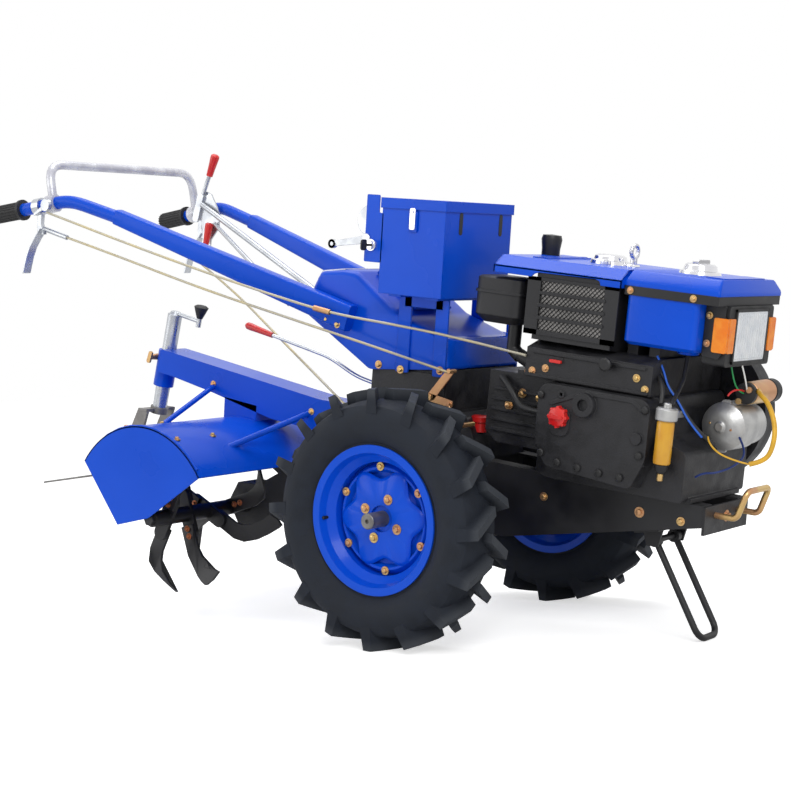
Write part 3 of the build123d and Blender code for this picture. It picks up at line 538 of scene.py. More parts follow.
add_engine("solenoid_cap", [
    turned(1, solenoid_at, [(12, 16), (14, 24), (25, 24)], 32),
    turned(1, solenoid_at, [(121, 24), (123, 27), (146, 27), (150, 22)], 32),
], black_plastic)
add_engine("starter_bolts", [
    shape for u, w in ((200, 168), (251, 160)) for shape in bolt(1, (u, -12, w), -1, 5, 5)
], yellow_zinc)

# Fuel filter: an alloy head on a bracket at the block's front corner, with a yellow bowl below,
# a black foot and a gold drain screw.
yellow_bowl = finish(
    "yellow_bowl", "zinc", (0.66, 0.34, 0.02), (0.6, 0.28, 0.02), 0.3, 0.12, scale=26, fine=14, bump=0.1,
    coat=0.3,
)
filter_at = (175, -174, 0)
filter_head = [
    turned(2, filter_at, [(180, 22), (182, 24), (204, 24), (208, 20), (208, 9), (216, 9), (218, 7)], 32),
    prism(2, rounded([(160, -146), (160, -120), (189, -120), (189, -170), (161, -170)], 4), 186, 200),
]
add_engine("filter_head", filter_head, cast_alloy)
add_engine("filter_bowl", [turned(2, filter_at, [(86, 17), (90, 19), (174, 19), (180, 17)], 32)], yellow_bowl)
add_engine("filter_foot", [turned(2, filter_at, [(66, 9), (72, 14), (84, 15), (86, 13)], 28)], black_plastic)
add_engine("filter_drain", [turned(2, filter_at, [(48, 4), (50, 7), (64, 7), (66, 5)], 20)], yellow_zinc)

# Radiator: a black frame with black bars and diamond wire mesh before the grey fins on each side,
# under a folded blue hood with an arch over the mesh, a chrome filler cap and a lifting eye.
chrome = finish(
    "chrome", "chrome", (0.8, 0.8, 0.82), (0.7, 0.7, 0.73), 0.1, 0.08, metallic=1.0, scale=14, fine=12,
    bump=0.05,
)


def around(run, helper, radius, sides):
    """Rings round unit directions: radius (cos a * p + sin a * q) for the angles a of the sides,
    with p and q square to each direction and p square to the helper too."""
    p = np.cross(run, helper)
    p /= np.linalg.norm(p, axis=1)[:, None]
    q = np.cross(run, p)
    angle = np.arange(sides) * 2 * np.pi / sides
    return radius * (
        np.cos(angle)[None, :, None] * p[:, None] + np.sin(angle)[None, :, None] * q[:, None]
    )


def rods(starts, ends, radius, sides=6):
    """Straight round rods as one shape, each with a ring of points at its start and its end."""
    starts, ends = np.array(starts, float), np.array(ends, float)
    run = (ends - starts) / np.linalg.norm(ends - starts, axis=1)[:, None]
    helper = np.where(np.abs(run[:, 2:]) > 0.9, [[1.0, 0.0, 0.0]], [[0.0, 0.0, 1.0]])
    ring = around(run, helper, radius, sides)
    points = np.stack([starts[:, None] + ring, ends[:, None] + ring], axis=1).reshape(-1, 3)
    base = (np.arange(len(starts)) * 2 * sides)[:, None]
    k = np.arange(sides)
    quads = np.stack([
        base + k, base + (k + 1) % sides, base + sides + (k + 1) % sides, base + sides + k,
    ], axis=-1)
    caps = np.concatenate([base + k, base + sides + k[::-1]])
    return points, quads.reshape(-1, 4), list(caps)


frame_shapes, mesh_shapes, bar_shapes = [], [], []
left, right, foot, tall = -178, -13, 328, 112
window = [(left, foot), (right, foot), (right - 3, foot + tall), (left - 3, foot + tall)]
frame_bars = (
    ((-213, 317), (22, 329)), ((-213, 317), (left, 446)), ((-14, 317), (22, 446)), ((-213, 438), (22, 446)),
)
wire_radius, wire_step, shortest = 1.1, 11.0, 4
for out in (-1, 1):
    frame_shapes += [plate(1, low, high, 157 * out, 161.7 * out) for low, high in frame_bars]
    for way in (1, -1):
        line = left + (np.arange(-10, 26) + (0 if way > 0 else 10)) * wire_step
        start = np.clip(left - line if way > 0 else line - right, 0, tall)
        stop = np.clip(right - line if way > 0 else line - left, 0, tall)
        keep = stop - start > shortest
        level = np.full(len(line), (157.5 + way * 0.8) * out)
        a, b = [np.stack([line + way * t, level, foot + t], axis=-1)[keep] for t in (start, stop)]
        mesh_shapes.append(rods(a, b, wire_radius, 5))
    for bar_w in (356, 384, 412):
        bar_shapes.append(plate(1, (-182, bar_w - 4), (-9, bar_w + 4), 158 * out, 163.5 * out, 3))
add_engine("grille_frame", frame_shapes, black_enamel)
add_engine("grille_mesh", mesh_shapes, black_enamel)
add_engine("grille_bars", bar_shapes, black_enamel)
add_engine("core_fins", pair(window, 157.05, 157.4), worn_steel)
radiator_end = [
    (-157, 306), (-157, 456), (-128, 481), (128, 481), (157, 456), (157, 306), (120, 302), (-120, 302),
]
add_engine("radiator_core", [prism(0, radiator_end, -192, 10)], black_enamel, ["radiator"])
hood_shapes = [
    prism(0, [
        (-165, 459), (-165, 462), (-134, 485), (134, 485), (165, 462), (165, 459), (133, 482), (-133, 482),
    ], -306, 27),
]
arch = [
    (-306, 445), (-204, 445), (-196, 452), (-185, 456), (-39, 458), (-28, 454), (-24, 445), (27, 445),
    (27, 463), (-306, 463),
]
hood_shapes += pair(arch, 165, 162)
hood_end = [(-165, 445), (-165, 462), (-134, 485), (134, 485), (165, 462), (165, 445)]
hood_shapes += [prism(0, hood_end, 24, 27), prism(0, hood_end, -306, -303)]
hood_shapes += [plate(2, (u - 6, -114), (u + 6, 114), 484, 487.5, 5) for u in (-232, -206)]
add_engine("hood_sheet", hood_shapes, blue_enamel, ["radiator_hood"])
cap_shapes = [turned(2, (-100, 0, 485), [(-1, 46), (8, 44), (10, 38), (18, 36), (21, 30), (21, 0.01)], 48)]
cap_shapes += [plate(2, (u - 9, y - 11), (u + 9, y + 11), 485, 493, 4) for u, y in ((-85, -44), (-115, 44))]
add_engine("water_cap", cap_shapes, chrome, ["radiator_cap"])
angle = np.linspace(0, 2 * np.pi, 29)
eye = np.stack([np.full(29, -40.0), 15 * np.cos(angle), 519 + 15 * np.sin(angle)], axis=-1)
add_engine("lifting_eye", [
    turned(2, (-40, 0, 485), [(0, 15), (5, 14), (5, 8), (20, 8)], 24), rods(eye[:-1], eye[1:], 5, 12),
], chrome)

# Fuel tank and lamp: a blue pressed tank with a domed cover and a chrome filler cap, belted by a
# black strip, and in front a square lamp in a black box with an amber reflector on each side.
tank_plan = oblong((34, -150), (208, 150), 16)
tank_shapes = [
    prism(2, tank_plan, 334, 434), prism(2, tank_plan, 334, 326, 0.07),
    turned(2, (152, -62, 0), [(314, 20), (316, 24), (328, 24)], 28),
]
add_engine("tank_shell", tank_shapes, blue_enamel, ["fuel_tank"])
strip = oblong((28, -153), (254, 153), 4)
cover_plan = oblong((24, -153), (256, 153), 6)
cover_rows = np.array([(1.0, 453), (1.0, 460), (0.985, 465), (0.86, 484), (0.83, 487)])
middle = np.array([140.0, 0.0])
side_points = [
    np.column_stack([
        middle + (cover_plan - middle) * [(0.5 + share / 2), share], np.full(len(cover_plan), height),
    ])
    for share, height in cover_rows
]
cover_shell = lofted(np.concatenate(side_points), len(cover_rows))
add_engine("tank_cover", [cover_shell, plate(2, (188, -98), (240, 98), 486, 489.5, 12)], blue_enamel)
add_engine("tank_strip", [prism(2, strip, 433, 453)], black_enamel)
ear = rounded([(209, 434), (209, 322), (248, 318), (256, 332), (256, 434)], 4)
add_engine("lamp_ears", pair(ear, 111.5, 114.5), black_enamel)
add_engine("fuel_cap", [
    turned(2, (128, 0, 487), [(-1, 47), (7, 45), (9, 38), (20, 35), (23, 30), (23, 0.01)], 48),
    plate(0, (-28, 508), (28, 519), 121, 135, 5),
], chrome, ["tank_cap"])
lamp_glass = finish(
    "lamp_glass", "lens", (0.78, 0.8, 0.82), (0.68, 0.71, 0.75), 0.12, 0.05, scale=40, fine=12, bump=0.3,
    coat=0.6,
)
amber = finish(
    "amber_reflector", "red_plastic", (0.85, 0.2, 0.01), (0.9, 0.28, 0.02), 0.18, 0.05, scale=40, fine=12,
    bump=0.3,
)
lamp_box = oblong((-108, 303), (108, 433), 9)
add_engine("lamp_box", [prism(0, lamp_box, 208, 262)], black_plastic, ["lamp_housing"])
bezel_bars = (
    ((-80, 309), (80, 315)), ((-80, 421), (80, 427)), ((-80, 309), (-74, 427)), ((74, 309), (80, 427)),
)
add_engine("lamp_bezel", [plate(0, low, high, 261, 266) for low, high in bezel_bars], black_plastic)
glass = [plate(0, (-74, 315), (74, 421), 261, 265, 6)]
glass += [plate(0, (y - 3.4, 320), (y + 3.4, 416), 264, 266.5, 3) for y in np.arange(-66, 67, 11)]
add_engine("lamp_glass", glass, lamp_glass, ["lamp_lens"])
add_engine("lamp_reflectors", [
    plate(0, (y - 14, 333), (y + 14, 407), 261, 267, 5) for y in (-98, 98)
] + [
    plate(1, (232, 333), (266, 407), 112 * out, 118 * out, 5) for out in (-1, 1)
], amber)
lamp_bolts = []
for out in (-1, 1):
    for u, y, w in ((219, 114.5, 350), (219, 114.5, 410), (44, 153, 443), (196, 153, 443)):
        lamp_bolts += bolt(1, (u, y * out, w), out, 8)
add_engine("lamp_bolts", lamp_bolts, yellow_zinc)

# Exhaust and air cleaner: black steel cans on the head, the exhaust with an outlet that rises
# over the hood and the intake with a rolled seam and a bent pipe.
add_engine("exhaust_can", [
    turned(2, (-284, 60, 0), [
        (226, 18), (284, 18), (290, 26), (430, 26), (441, 22), (441, 16), (436, 14),
    ], 40),
    turned(2, (-298, 60, 0), [(438, 16), (440, 21), (500, 22), (522, 25), (532, 22), (534, 0.01)], 40),
    plate(2, (-310, 30), (-258, 90), 216, 227, 6),
], black_enamel, ["muffler"])
can = oblong((-354, -165), (-230, -51), 24)
can_middle = can.mean(axis=0)
intake = [
    prism(2, can, 346, 430), prism(2, can, 346, 328, 0.28), prism(2, can, 430, 434, 0.1),
    prism(2, (can - can_middle) * 1.05 + can_middle, 396, 402),
    plate(2, (-250, -111), (-202, -65), 215, 225, 6),
    rods(
        [(-281, -88, 330), (-281, -88, 268), (-262, -88, 256), (-226, -88, 240)],
        [(-281, -88, 266), (-260, -88, 252), (-226, -88, 240), (-226, -88, 216)], 16, 24,
    ),
]
add_engine("air_filter", intake, black_enamel, ["air_cleaner"])

# Belt drive on the left: three V-belts run back from the engine's pulley to the larger one on the
# gearbox shaft, behind a blue guard of folded sheet on two stays.
belt_rubber = finish(
    "belt_rubber", "rubber", (0.014, 0.014, 0.015), (0.022, 0.022, 0.023), 0.6, 0.2, scale=30, fine=12,
    bump=0.3,
)
front_x = seat_x + shaft_u * cos(lean) + shaft_w * sin(lean)
front_z = seat_z + shaft_w * cos(lean) - shaft_u * sin(lean)
rear_x, rear_z = -95.0, 70.0
front_radius, rear_radius = 62, 108


def loop_round(grow, sides=40):
    """Outline round both pulleys, grown outwards: an arc round the front one and an arc round the
    rear one, each from tangent to tangent; the tangents stand 0.09 radians off square."""
    rise, slant = np.arctan2(front_z - rear_z, front_x - rear_x), 0.09
    a = rise + np.linspace(-np.pi / 2 - slant, np.pi / 2 + slant, sides)
    b = rise + np.linspace(np.pi / 2 + slant, 1.5 * np.pi - slant, sides)
    front, rear = front_radius + grow, rear_radius + grow
    return np.concatenate([
        np.stack([front_x + front * np.cos(a), front_z + front * np.sin(a)], axis=-1),
        np.stack([rear_x + rear * np.cos(b), rear_z + rear * np.sin(b)], axis=-1),
    ])


def band(outer, inner, low, high):
    """Closed strip between two outlines of equal count, extruded between two levels of y."""
    rings = [(outer, low), (outer, high), (inner, high), (inner, low)]
    points = np.concatenate([np.insert(ring, 1, level, axis=1) for ring, level in rings])
    return lofted(points, len(rings), closed=True)


add_piece("drive_belts", [
    band(loop_round(8), loop_round(0.5), y - 4.5, y + 4.5) for y in (235, 251, 267)
], belt_rubber)
pulley_rows = [
    (200, 28), (228, 28), (228, 117), (230, 117), (232, 108), (238, 108), (240, 117), (246, 117), (248, 108),
    (254, 108), (256, 117), (262, 117), (264, 108), (270, 108), (272, 117), (276, 117), (276, 92), (260, 90),
    (260, 30), (276, 28), (276, 0.01),
]
add_piece("gearbox_pulley", [turned(1, (rear_x, 0, rear_z), pulley_rows, 72)], black_casting)
guard = [band(loop_round(23), loop_round(20.5), 246, 282.5), prism(1, loop_round(22), 280, 282.5)]
guard += [
    turned(1, (60, 0, 92), [(105, 7), (281, 7)], 16), turned(1, (300, 0, 232), [(150, 7), (281, 7)], 16),
]
add_piece("belt_guard", guard, blue_enamel)

# Handlebar base: a pressed blue cover with rounded shoulders over the gearbox, with a low raised
# hatch behind the battery box, and a silvery strip on its rear edge that is a painted highlight.
# Silvery film finish: real packing film on the loop rod, and a painted highlight on the strip along the
# base's rear edge.
film_and_painted_highlight = finish(
    "film_and_painted_highlight", "steel", (0.72, 0.73, 0.77), (0.5, 0.5, 0.56), 0.2, 0.2, metallic=0.25, scale=22, fine=5,
    bump=0.9, coat=0.6,
)
base_outline = rounded([
    (-470, 423), (-435, 496), (-418, 526), (-345, 536), (-303, 535), (-160, 439), (-39, 397), (-15, 397),
    (-9, 324), (-240, 302),
], 9)
base_middle = base_outline.mean(axis=0)
bend_start, bend_height = 320, 60
shoulder = [(-150.0, 26.0), (-149.0, 18.0), (-145.0, 9.0), (-137.0, 2.5), (-126.0, 0.0)]
shoulder += [(-y, inset) for y, inset in shoulder[::-1]]
reach = np.linalg.norm(base_outline - base_middle, axis=1)[:, None]
rings = []
for y, inset in shoulder:
    drawn = np.clip((base_outline[:, 1:] - bend_start) / bend_height, 0, 1) * inset
    rings.append(np.insert(base_outline + (base_middle - base_outline) * drawn / reach, 1, y, axis=1))
base_shell = lofted(np.concatenate(rings), len(rings))
hatch = rounded([(-292, 530), (-170, 449), (-166, 455), (-288, 537)], 4)
add_piece("base_cover", [base_shell, prism(1, hatch, -74, 74)], blue_enamel, instead=["handlebar_base"])
# Silvery strip over the cover's rounded rear end: a painted highlight standing in for the reflection there,
# not a real part.
add_piece("painted_highlight_strip", [
    prism(1, rounded([
        (-433, 504), (-417, 528), (-345, 538), (-345, 534), (-415, 523), (-429, 501),
    ], 3), -132, 132),
], film_and_painted_highlight)
add_piece("pedestal", [
    prism(1, [(-240, 226), (-20, 226), (-14, 322), (-238, 304)], -140, 140),
], black_casting)
leg_in, leg_out = 150.3, 155.3
base_bolts = []
for out in (-1, 1):
    for x, z, y in ((-213, 316, 150), (-143, 312, leg_out), (-28, 322, leg_out)):
        base_bolts += bolt(1, (x, y * out, z), out, 10)
    for x, z in ((-318, 392), (-352, 402)):
        base_bolts += bolt(1, (x, 187 * out, z + 12), out, 9)
add_piece("base_bolts", base_bolts, yellow_zinc)

# Battery box: folded blue sheet on flat-bar legs down the sides of the base, with a key switch
# and the throttle lever on a rear flap, a latch on the right and two slots in front.
dress(blue_enamel, "battery_box", "box_lid")
bright_steel = finish(
    "bright_steel", "steel", (0.58, 0.6, 0.63), (0.48, 0.5, 0.53), 0.24, 0.12, metallic=0.9, scale=16,
    fine=18, bump=0.08,
)
legs = []
for x in (-140, -32):
    legs += pair(oblong((x - 18, 306), (x + 18, 492), 4), leg_in, leg_out)
    legs.append(plate(2, (x - 18, -200), (x + 18, leg_out), 487, 492))
legs += pair(oblong((-141, 464), (-31, 490)), leg_in, leg_out)
add_piece("box_stand", legs, blue_enamel, instead=["box_legs"])
flap = [
    prism(1, rounded([
        (-184, 563), (-235, 563), (-235, 722), (-197, 722), (-197, 680), (-184, 680),
    ], 4), -204, -201.5),
    plate(1, (-104, 640), (-82, 690), -208, -204, 6),
]
add_piece("box_flap", flap, blue_enamel)
add_piece("box_latch", [
    plate(1, (-101, 646), (-85, 696), -213, -207, 5),
    turned(1, (-93, -213, 688), [(0, 5), (-3, 4), (-3, 0.01)], 16),
], chrome)
lever_turn = [
    turned(1, (-226, -201.5, 660), [(0, 36), (4, 35), (4, 0.01)], 40),
    prism(1, rounded([(-240, 624), (-228, 606), (-334, 592), (-340, 604)], 5), -201, -196),
    turned(1, (-337, -198, 598), [(-5, 11), (5, 11), (5, 5), (-5, 5), (-5, 11)], 28),
    turned(1, (-230, -201, 618), [(-6, 11), (8, 11)], 20),
]
add_piece("throttle_lever", lever_turn, bright_steel)
add_piece("key_switch", [
    turned(1, (-213, -204, 603), [(0, 15), (-6, 14), (-6, 11), (-11, 10), (-11, 0.01)], 32),
], chrome)
add_piece("key", [
    plate(1, (-216, 600), (-210, 606), -214, -226, 1),
    plate(0, (-246, 590), (-226, 616), -215, -211, 8),
], black_plastic)
slots = [plate(0, (y - 7, 640), (y + 7, 692), -5.4, -4.2, 7) for y in (-141, 25)]
add_piece("box_slots", slots, black_plastic)

# Handlebars: tapering box beams that splay outwards from the base, with bent tubes at their ends
# for the ribbed rubber grips; the loop between them is wrapped in packing film.
def swept(path, radius, sides=16, bend=0.0):
    """Round bar along corner points, with its inner corners eased where a bend is given, and a
    ring of points square to the local run at each; the radius may differ from point to point."""
    c = np.array(path, float)
    if bend:
        inner = c[1:-1]
        c = np.concatenate([c[:1], eased(inner, c[:-2] - inner, c[2:] - inner, bend, 0.5, 7), c[-1:]])
        c = c[np.concatenate([[True], np.linalg.norm(np.diff(c, axis=0), axis=1) > 0.05])]
    run = np.gradient(c, axis=0)
    run /= np.linalg.norm(run, axis=1)[:, None]
    helper = np.zeros(3)
    helper[np.argmin(np.abs(run).sum(axis=0))] = 1.0
    radii = np.broadcast_to(np.asarray(radius, float), (len(c),))[:, None, None]
    rings = c[:, None] + around(run, helper, radii, sides)
    return lofted(rings.reshape(-1, 3), len(c))


def mirrored(points, out):
    """The left side's points, or their mirror image on the right for out = -1."""
    return [(x, out * y, z) for x, y, z in points]


def along(points, x):
    """Point of the last straight run at a given x."""
    (x0, y0, z0), (x1, y1, z1) = points[-2:]
    share = (x - x0) / (x1 - x0)
    return (x, y0 + share * (y1 - y0), z0 + share * (z1 - z0))


bar_points = [(-980, 260, 614), (-1165, 292, 657), (-1240, 308, 638), (-1424, 328, 600)]
beam_front, beam_rear = np.array([-292, 168.5, 420.0]), np.array([-1010, 264, 622.0])
run = (beam_rear - beam_front) / np.linalg.norm(beam_rear - beam_front)
rise = np.cross(run, [0, 1, 0])
rise = rise / np.linalg.norm(rise) * (1 if rise[2] > 0 else -1)
wide = np.cross(rise, run)
front, rear = oblong((-18, -33), (18, 33), 9), oblong((-17, -20), (17, 20), 9)
grip_start, grip_end, grip_rings = -1317, -1424, 12
for side, out in (("right", -1), ("left", 1)):
    beam_points = np.concatenate([
        beam_front + front[:, :1] * wide + front[:, 1:] * rise,
        beam_rear + rear[:, :1] * wide + rear[:, 1:] * rise,
    ]) * [1, out, 1]
    bar = mirrored(bar_points, out)
    add_piece(f"handlebar_beam_{side}", [
        lofted(beam_points, 2), swept(bar, 17, 24, 50),
    ], blue_enamel, instead=[f"handlebar_{side}"])
    start, end = np.array(along(bar, grip_start)), np.array(along(bar, grip_end))
    step = (end - start) / grip_rings
    grip_path = [start + step * n for n in range(grip_rings + 1)]
    collar = swept([start - step * 0.1, start + step * 0.8], [28, 28], 32)
    ring = around((step / np.linalg.norm(step))[None], [0, 0, 1.0], 22.2, 20)[0]
    add_piece(f"grip_sleeve_{side}", [
        swept(grip_path, 22, 40), collar, rods(start + ring, end + ring, 2.2, 6),
    ], black_plastic, instead=[f"grip_{side}"])
loop = [(-1216, -303, 650), (-1246, -298, 748), (-1290, 292, 748), (-1284, 313, 646)]
clamps = [
    swept([(-1204, -301, 648), (-1230, -306, 641)], 24, 28),
    swept([(-1271, 311, 632), (-1297, 314, 627)], 24, 28),
]
add_piece("loop_rod", [swept(loop, 12, 20, 52)] + clamps, film_and_painted_highlight, instead=["handle_loop"])

# Hand levers: pressed steel blades in holders clamped under the bars, the right one pulling the
# clutch cable, with the throttle's disc and thumb lever beside it.
levers = []
for out in (-1, 1):
    levers.append(prism(1, [
        (-1260, 622), (-1246, 622), (-1248, 590), (-1236, 562), (-1260, 558), (-1262, 590),
    ], out * 304, out * 316))
    levers.append(swept(mirrored([along(bar_points, -1250), along(bar_points, -1272)], out), 23, 28))
    blade = np.array([
        (-1246, 574), (-1266, 548), (-1284, 522), (-1295, 496), (-1302, 470), (-1306, 452),
    ], float)
    levers.append(prism(1, np.concatenate([blade, blade[::-1] + [4.5, 2.0]]), out * 298, out * 324))
levers.append(swept([(-1246, -305, 576), (-1158, -302, 558)], 6.5, 20))
levers.append(turned(1, (-1212, -327, 640), [(0, 17), (-10, 16), (-10, 0.01)], 32))
levers.append(prism(1, [(-1212, 646), (-1212, 632), (-1254, 610), (-1256, 616)], -335, -331))
add_piece("hand_levers", levers, bright_steel)

# Gear levers: a steel plate on the left handlebar's tube carries two levers with red knobs and
# the shift tubes that run down to the gearbox, where a third lever points back.
gears = [
    prism(1, [
        (-1226, 664), (-1200, 702), (-1172, 692), (-1136, 640), (-1136, 596), (-1164, 560), (-1172, 488),
        (-1190, 488), (-1200, 590),
    ], 258, 263),
    prism(1, rounded([(-1236, 612), (-1214, 606), (-1194, 690), (-1216, 696)], 10), 250, 258),
    swept([(-1197, 252, 690), (-1178, 254, 744)], 6, 14),
    swept([(-1180, 244, 490), (-1170, 244, 547)], 5, 14),
    turned(1, (-1181, 246, 494), [(0, 9), (12, 9)], 20),
    swept([(-1198, 250, 660), (-262, 108, 276)], 8, 16), swept([(-1146, 252, 607), (-742, 128, 411)], 6, 14),
    swept([(-744, 128, 411), (-744, 180.7, 472.4)], 5, 12),
    swept([(-667, -20, 338), (-470, -20, 301), (-380, -20, 262), (-262, -20, 240)], 5, 14, 30),
]
add_piece("gear_levers", gears, bright_steel)
knobs = []
knob_shares, knob_radii = (0, 0.3, 0.6, 0.84, 0.94, 1), np.array([0.72, 0.8, 0.9, 1, 0.95, 0.6])
for start, end, size in (
    ((-1178, 254, 744), (-1157, 254, 806), 13),
    ((-1170, 244, 547), (-1159, 244, 609), 12),
    ((-667, -20, 338), (-760, -20, 356), 10),
):
    a, b = np.array(start, float), np.array(end, float)
    knobs.append(swept([a + (b - a) * t for t in knob_shares], size * knob_radii, 28))
add_piece("lever_knobs", knobs, red_plastic)

# Bell crank and control cables: a zinc-plated crank on the base's right side, and sheathed cables
# that run from the hand levers to the crank, the engine and the gearbox.
crank = [
    turned(1, (-45, -140, 258), [(0, 8), (-32, 8)], 20), turned(1, (11, -150, 325), [(0, 5), (-26, 5)], 16),
    turned(1, (13, -162, 248), [(0, 5), (-14, 5)], 16), turned(1, (38, -99, 200), [(0, 6), (-77, 6)], 16),
    prism(1, rounded([(-56, 258), (3, 333), (19, 322), (-36, 250)], 8), -162, -166),
    prism(1, rounded([(-50, 268), (20, 256), (20, 240), (-44, 248)], 6), -162, -166),
    swept([(13, -171, 248), (38, -171, 200)], 4, 12),
]
add_piece("bell_crank", crank, yellow_zinc)
cable_sheath = finish(
    "cable_sheath", "zinc", (0.46, 0.43, 0.34), (0.58, 0.5, 0.3), 0.35, 0.15, metallic=0.4, scale=14, fine=8,
    bump=0.15,
)


def add_hose(name, points, radius, material, engine=False):
    """Flexible line as a smooth curve through corner points, round in section."""
    data = bpy.data.curves.new(name, "CURVE")
    data.dimensions = "3D"
    data.bevel_depth = radius / 1000
    data.bevel_resolution = 4
    data.use_fill_caps = True
    line = data.splines.new("NURBS")
    places = np.array(points, float)
    if engine:
        places = on_engine((places, None, None))[0]
    places = placed(places)
    line.points.add(len(places) - 1)
    line.points.foreach_set("co", np.insert(places, 3, 1.0, axis=1).ravel())
    line.order_u = 3
    line.use_endpoint_u = True
    line.resolution_u = 8
    data.materials.append(material)
    piece = bpy.data.objects.new(name, data)
    bpy.context.scene.collection.objects.link(piece)
    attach(piece, "machine")


add_hose("clutch_cable", [
    (-1158, -302, 558), (-1000, -292, 527), (-709, -262, 461), (-408, -222, 403), (-148, -195, 355),
    (4.9, -168, 322),
], 3.2, cable_sheath)
add_hose("throttle_cable", [
    (-1206, -333, 621), (-1155, -322, 608), (-934, -300, 557), (-677, -262, 499), (-411, -222, 446),
    (-297, -205, 429), (-126, -190, 419), (39, -181, 406), (216, -170, 384),
], 3.2, cable_sheath)
add_hose("shift_cable", [
    (-1180, 244, 485.6), (-1000, 190, 424), (-700, 40, 330), (-500, -50, 262), (-341, -80, 180),
], 3.2, cable_sheath)
add_piece("cable_adjuster", [swept([(-370, -216, 440), (-325, -209, 433)], 7, 20)], yellow_zinc)

# Hoses and wires of the engine: black rubber lines from the tank and the filter, and the
# starter's coloured leads with a thick yellow battery cable.
rubber_hose = finish(
    "rubber_hose", "rubber", (0.012, 0.012, 0.013), (0.02, 0.02, 0.021), 0.4, 0.15, scale=30, fine=12,
    bump=0.2,
)
wire_colours = {
    "blue": (0.02, 0.12, 0.6), "yellow": (0.75, 0.42, 0.03), "green": (0.02, 0.3, 0.08),
    "white": (0.8, 0.8, 0.78), "red": (0.6, 0.02, 0.02), "dark_blue": (0.01, 0.03, 0.16),
}
wires = {
    name: finish(
        f"{name}_wire", "rubber", colour, tuple(c * 0.85 for c in colour), 0.35, 0.1, scale=30, fine=10,
        bump=0.1,
    )
    for name, colour in wire_colours.items()
}
for name, points, radius, material in (
    ("fuel_hose_filter", [
        (159, -174, 214), (156, -166, 242), (137, -146, 259), (96, -112, 285),
    ], 5, rubber_hose),
    ("fuel_hose_tank", [
        (182, -172, 214), (172, -122, 246), (154, -70, 266), (152, -62, 312),
    ], 5, rubber_hose),
    ("wire_sleeve", [
        (107, -122, 289), (158, -125, 236), (194, -125, 192), (225, -112, 155), (236, -60, 130),
    ], 5, rubber_hose),
    ("intake_hose", [
        (-284, -120, 205), (-248, -136, 186), (-219, -140, 150), (-190, -146, 143), (-156, -150, 143),
    ], 8, rubber_hose),
    ("blue_wires", [
        (109, -120, 307), (132, -130, 283), (152, -140, 247), (179, -140, 223), (209, -135, 178),
        (235, -118, 149),
    ], 2.4, wires["blue"]),
    ("battery_cable", [
        (270, 60, 250), (300, -6, 250), (334, -20, 233), (366, -40, 185), (368, -55, 131), (350, -65, 111),
        (330, -75, 104),
    ], 5.5, wires["yellow"]),
    ("yellow_wires", [
        (330, -75, 104), (284, -100, 111), (250, -116, 138), (240, -100, 150),
    ], 2, wires["yellow"]),
    ("low_wire", [
        (226, -110, 60), (240, -110, 72), (270, -100, 76), (295, -60, 94), (298, -20, 121), (262, 0, 150),
    ], 2.4, wires["dark_blue"]),
    ("green_wire", [(246, -40, 304), (250, -30, 270), (256, -10, 246), (259, 10, 241)], 1.8, wires["green"]),
    ("white_wire", [(262, -20, 304), (268, -10, 278), (266, 10, 250)], 1.8, wires["white"]),
    ("red_wire", [(246, -40, 236), (253, -30, 256), (259, 10, 246)], 2.2, wires["red"]),
):
    add_hose(name, points, radius, material, engine=True)

# Tiller: a blue box beam over the drive case, a rolled hood with D-shaped end plates braced from
# the beam, and a rotor whose holders carry sixteen bent blades on copper-coloured bolts.
dress(black_enamel, "rotor_shaft")
dress(black_casting, "tiller_case")
beam = prism(1, rounded([
    (-1046, 263), (-1059, 200), (-994, 192), (-845, 166), (-637, 122), (-478, 112), (-300, 134), (-300, 188),
    (-478, 193),
], 5), -46, 46)
post_x, post_z, post_lean = -1063, 240, radians(9.4)


def on_post(height, reach=0.0):
    """Point at a height along the leaning tail post and a reach square to it."""
    x = post_x + height * sin(post_lean) + reach * cos(post_lean)
    return (x, 0.0, post_z + height * cos(post_lean) - reach * sin(post_lean))


beam_shapes = [
    beam, swept([on_post(-84), on_post(16)], 28, 36),
    prism(1, [(-802, 100), (-688, 100), (-688, 150), (-802, 160)], -46, 46),
]
add_piece("box_beam", beam_shapes, blue_enamel, instead=["tiller_beam"])
add_piece("clamp_lever", [
    turned(1, (-1093, -12, 236), [(24, 9), (0, 9), (-26, 7), (-26, 0.01)], 20),
    prism(1, rounded([(-1104, 222), (-1092, 218), (-1082, 250), (-1094, 254)], 6), -38, -44),
], yellow_zinc)
arc = np.radians(np.linspace(36, 148, 45))
hood_middle, hood_radius, hood_side, sheet = (-736, -128), 242, 412, 3
spokes = np.stack([np.cos(arc), np.sin(arc)], axis=-1)
skin, under = hood_middle + hood_radius * spokes, hood_middle + (hood_radius - sheet) * spokes
hood_parts = [prism(1, np.concatenate([skin, under[::-1]]), -hood_side, hood_side)]
end_plate = np.concatenate([skin, [(-812, -146), (-706, -112)]])
hood_parts += pair(end_plate, hood_side, hood_side - sheet)
for out in (-1, 1):
    hood_parts += [
        prism(1, rounded([(-918, 56), (-900, 82), (-880, 60), (-896, 36)], 8), 337 * out, 343 * out),
        swept([(-846, 30 * out, 190), (-818, 262 * out, 97)], 7, 12),
        swept([(-500, 30 * out, 160), (-612, 250 * out, 62)], 8, 12),
        swept([tuple(p) for p in np.insert(skin[2:-2:4], 1, 404 * out, axis=1)], 4, 10),
    ]
add_piece("tiller_guard", hood_parts, blue_enamel, instead=["tiller_hood"])
hood_bolts = bolt(1, (-845, -46, 190), -1, 9) + bolt(1, (-500, -46, 158), -1, 9)
for y in (-390, -262, 262, 390):
    hood_bolts += bolt(2, (-818, y, 100), 1, 9) + bolt(2, (-640, y, 94), 1, 9)
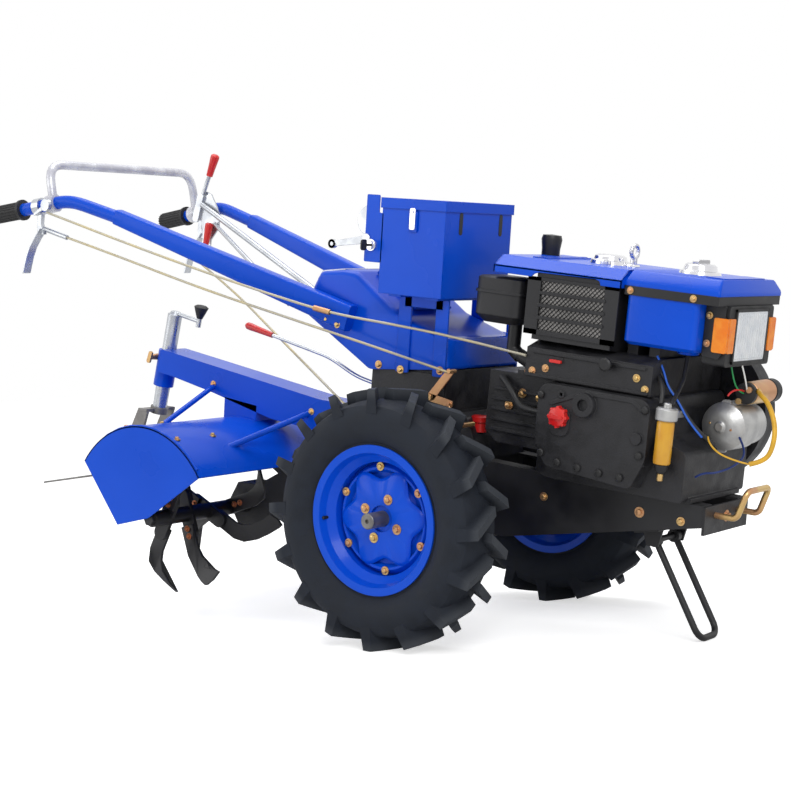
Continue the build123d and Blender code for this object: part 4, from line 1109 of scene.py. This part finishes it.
add_piece("hood_bolts", hood_bolts, yellow_zinc)
copper_plate = finish(
    "copper_plate", "zinc", (0.5, 0.2, 0.09), (0.42, 0.15, 0.07), 0.35, 0.15, metallic=0.8, scale=20, fine=12,
    bump=0.2,
)
tine_edge = np.array([
    (30, -20), (105, -21), (140, -10), (162, 8), (178, 32), (190, 56), (193, 66), (184, 80), (168, 88),
    (158, 66), (138, 42), (116, 26), (92, 19), (30, 20),
], float)
rotor_x, rotor_z, bend_from = -712, -118, 140
blades, tine_bolts = [], []
for out in (-1, 1):
    for index, station in enumerate((112, 188, 264, 338)):
        for end in (-1, 1):
            turn = radians(135 * index + (22.5 if out < 0 else 0) + (180 if end < 0 else 0))
            bend = np.clip(tine_edge[:, 0] - bend_from, 0, None) ** 1.5 * 0.13
            side_y = out * station - end * 9 - end * bend
            x = rotor_x + tine_edge[:, 0] * cos(turn) - tine_edge[:, 1] * sin(turn)
            z = rotor_z + tine_edge[:, 0] * sin(turn) + tine_edge[:, 1] * cos(turn)
            blades.append(lofted(np.concatenate([
                np.stack([x, side_y - 4, z], axis=-1), np.stack([x, side_y + 4, z], axis=-1),
            ]), 2))
            for reach in (38, 58):
                x, z = rotor_x + reach * cos(turn), rotor_z + reach * sin(turn)
                tine_bolts += bolt(1, (x, out * station - end * 13, z), -end, 8, 7)
add_piece("tine_blades", blades, black_enamel, "rotor", ["tines"], 30)
add_piece("tine_bolts", tine_bolts, copper_plate, "rotor")

# Tail: a bright post with a crank and a black knob on top slides in the beam's clamp, and carries
# a fork and a flat pointed share that trails behind.
tail = [
    swept([on_post(-148), on_post(120)], 20, 32), swept([on_post(120), on_post(128)], [17, 12], 24),
    swept([on_post(124), on_post(124, 92)], 6, 12), swept([on_post(108, 92), on_post(132, 92)], 7, 16),
]
add_piece("tail_post", tail, bright_steel, "tail", ["tail_tube"])
add_piece("crank_knob", [
    swept([on_post(132, 92), on_post(150, 92), on_post(164, 92), on_post(168, 92)], [8, 15, 20, 14], 28),
], black_plastic, "tail")
fork = [swept([on_post(-164), on_post(-146)], 25, 32)]
fork += pair([
    (-1116, 92), (-1080, 88), (-1100, 20), (-1130, -30), (-1200, -92), (-1250, -112), (-1260, -90),
    (-1200, -58), (-1160, -6),
], 46, 54)
fork.append(plate(2, (-1112, -56), (-1082, 56), 84, 92))
share_lean = radians(-14)
share_plan = np.array([(20, 60), (-120, 62), (-336, 0), (-120, -62), (20, -60)], float)
share_points, share_quads, share_ends = prism(2, share_plan, 0, 5)
share_x, share_z, share_rise = -1226, -112, 0.24
x, y, z = share_points.T
share_points = np.stack([
    share_x + x * cos(share_lean) + z * sin(share_lean), y, share_z + z * cos(share_lean) + x * share_rise,
], axis=-1)
share = (share_points, share_quads, share_ends)
add_piece("fork_and_share", fork + [share], worn_steel, "tail", ["tail_share"])
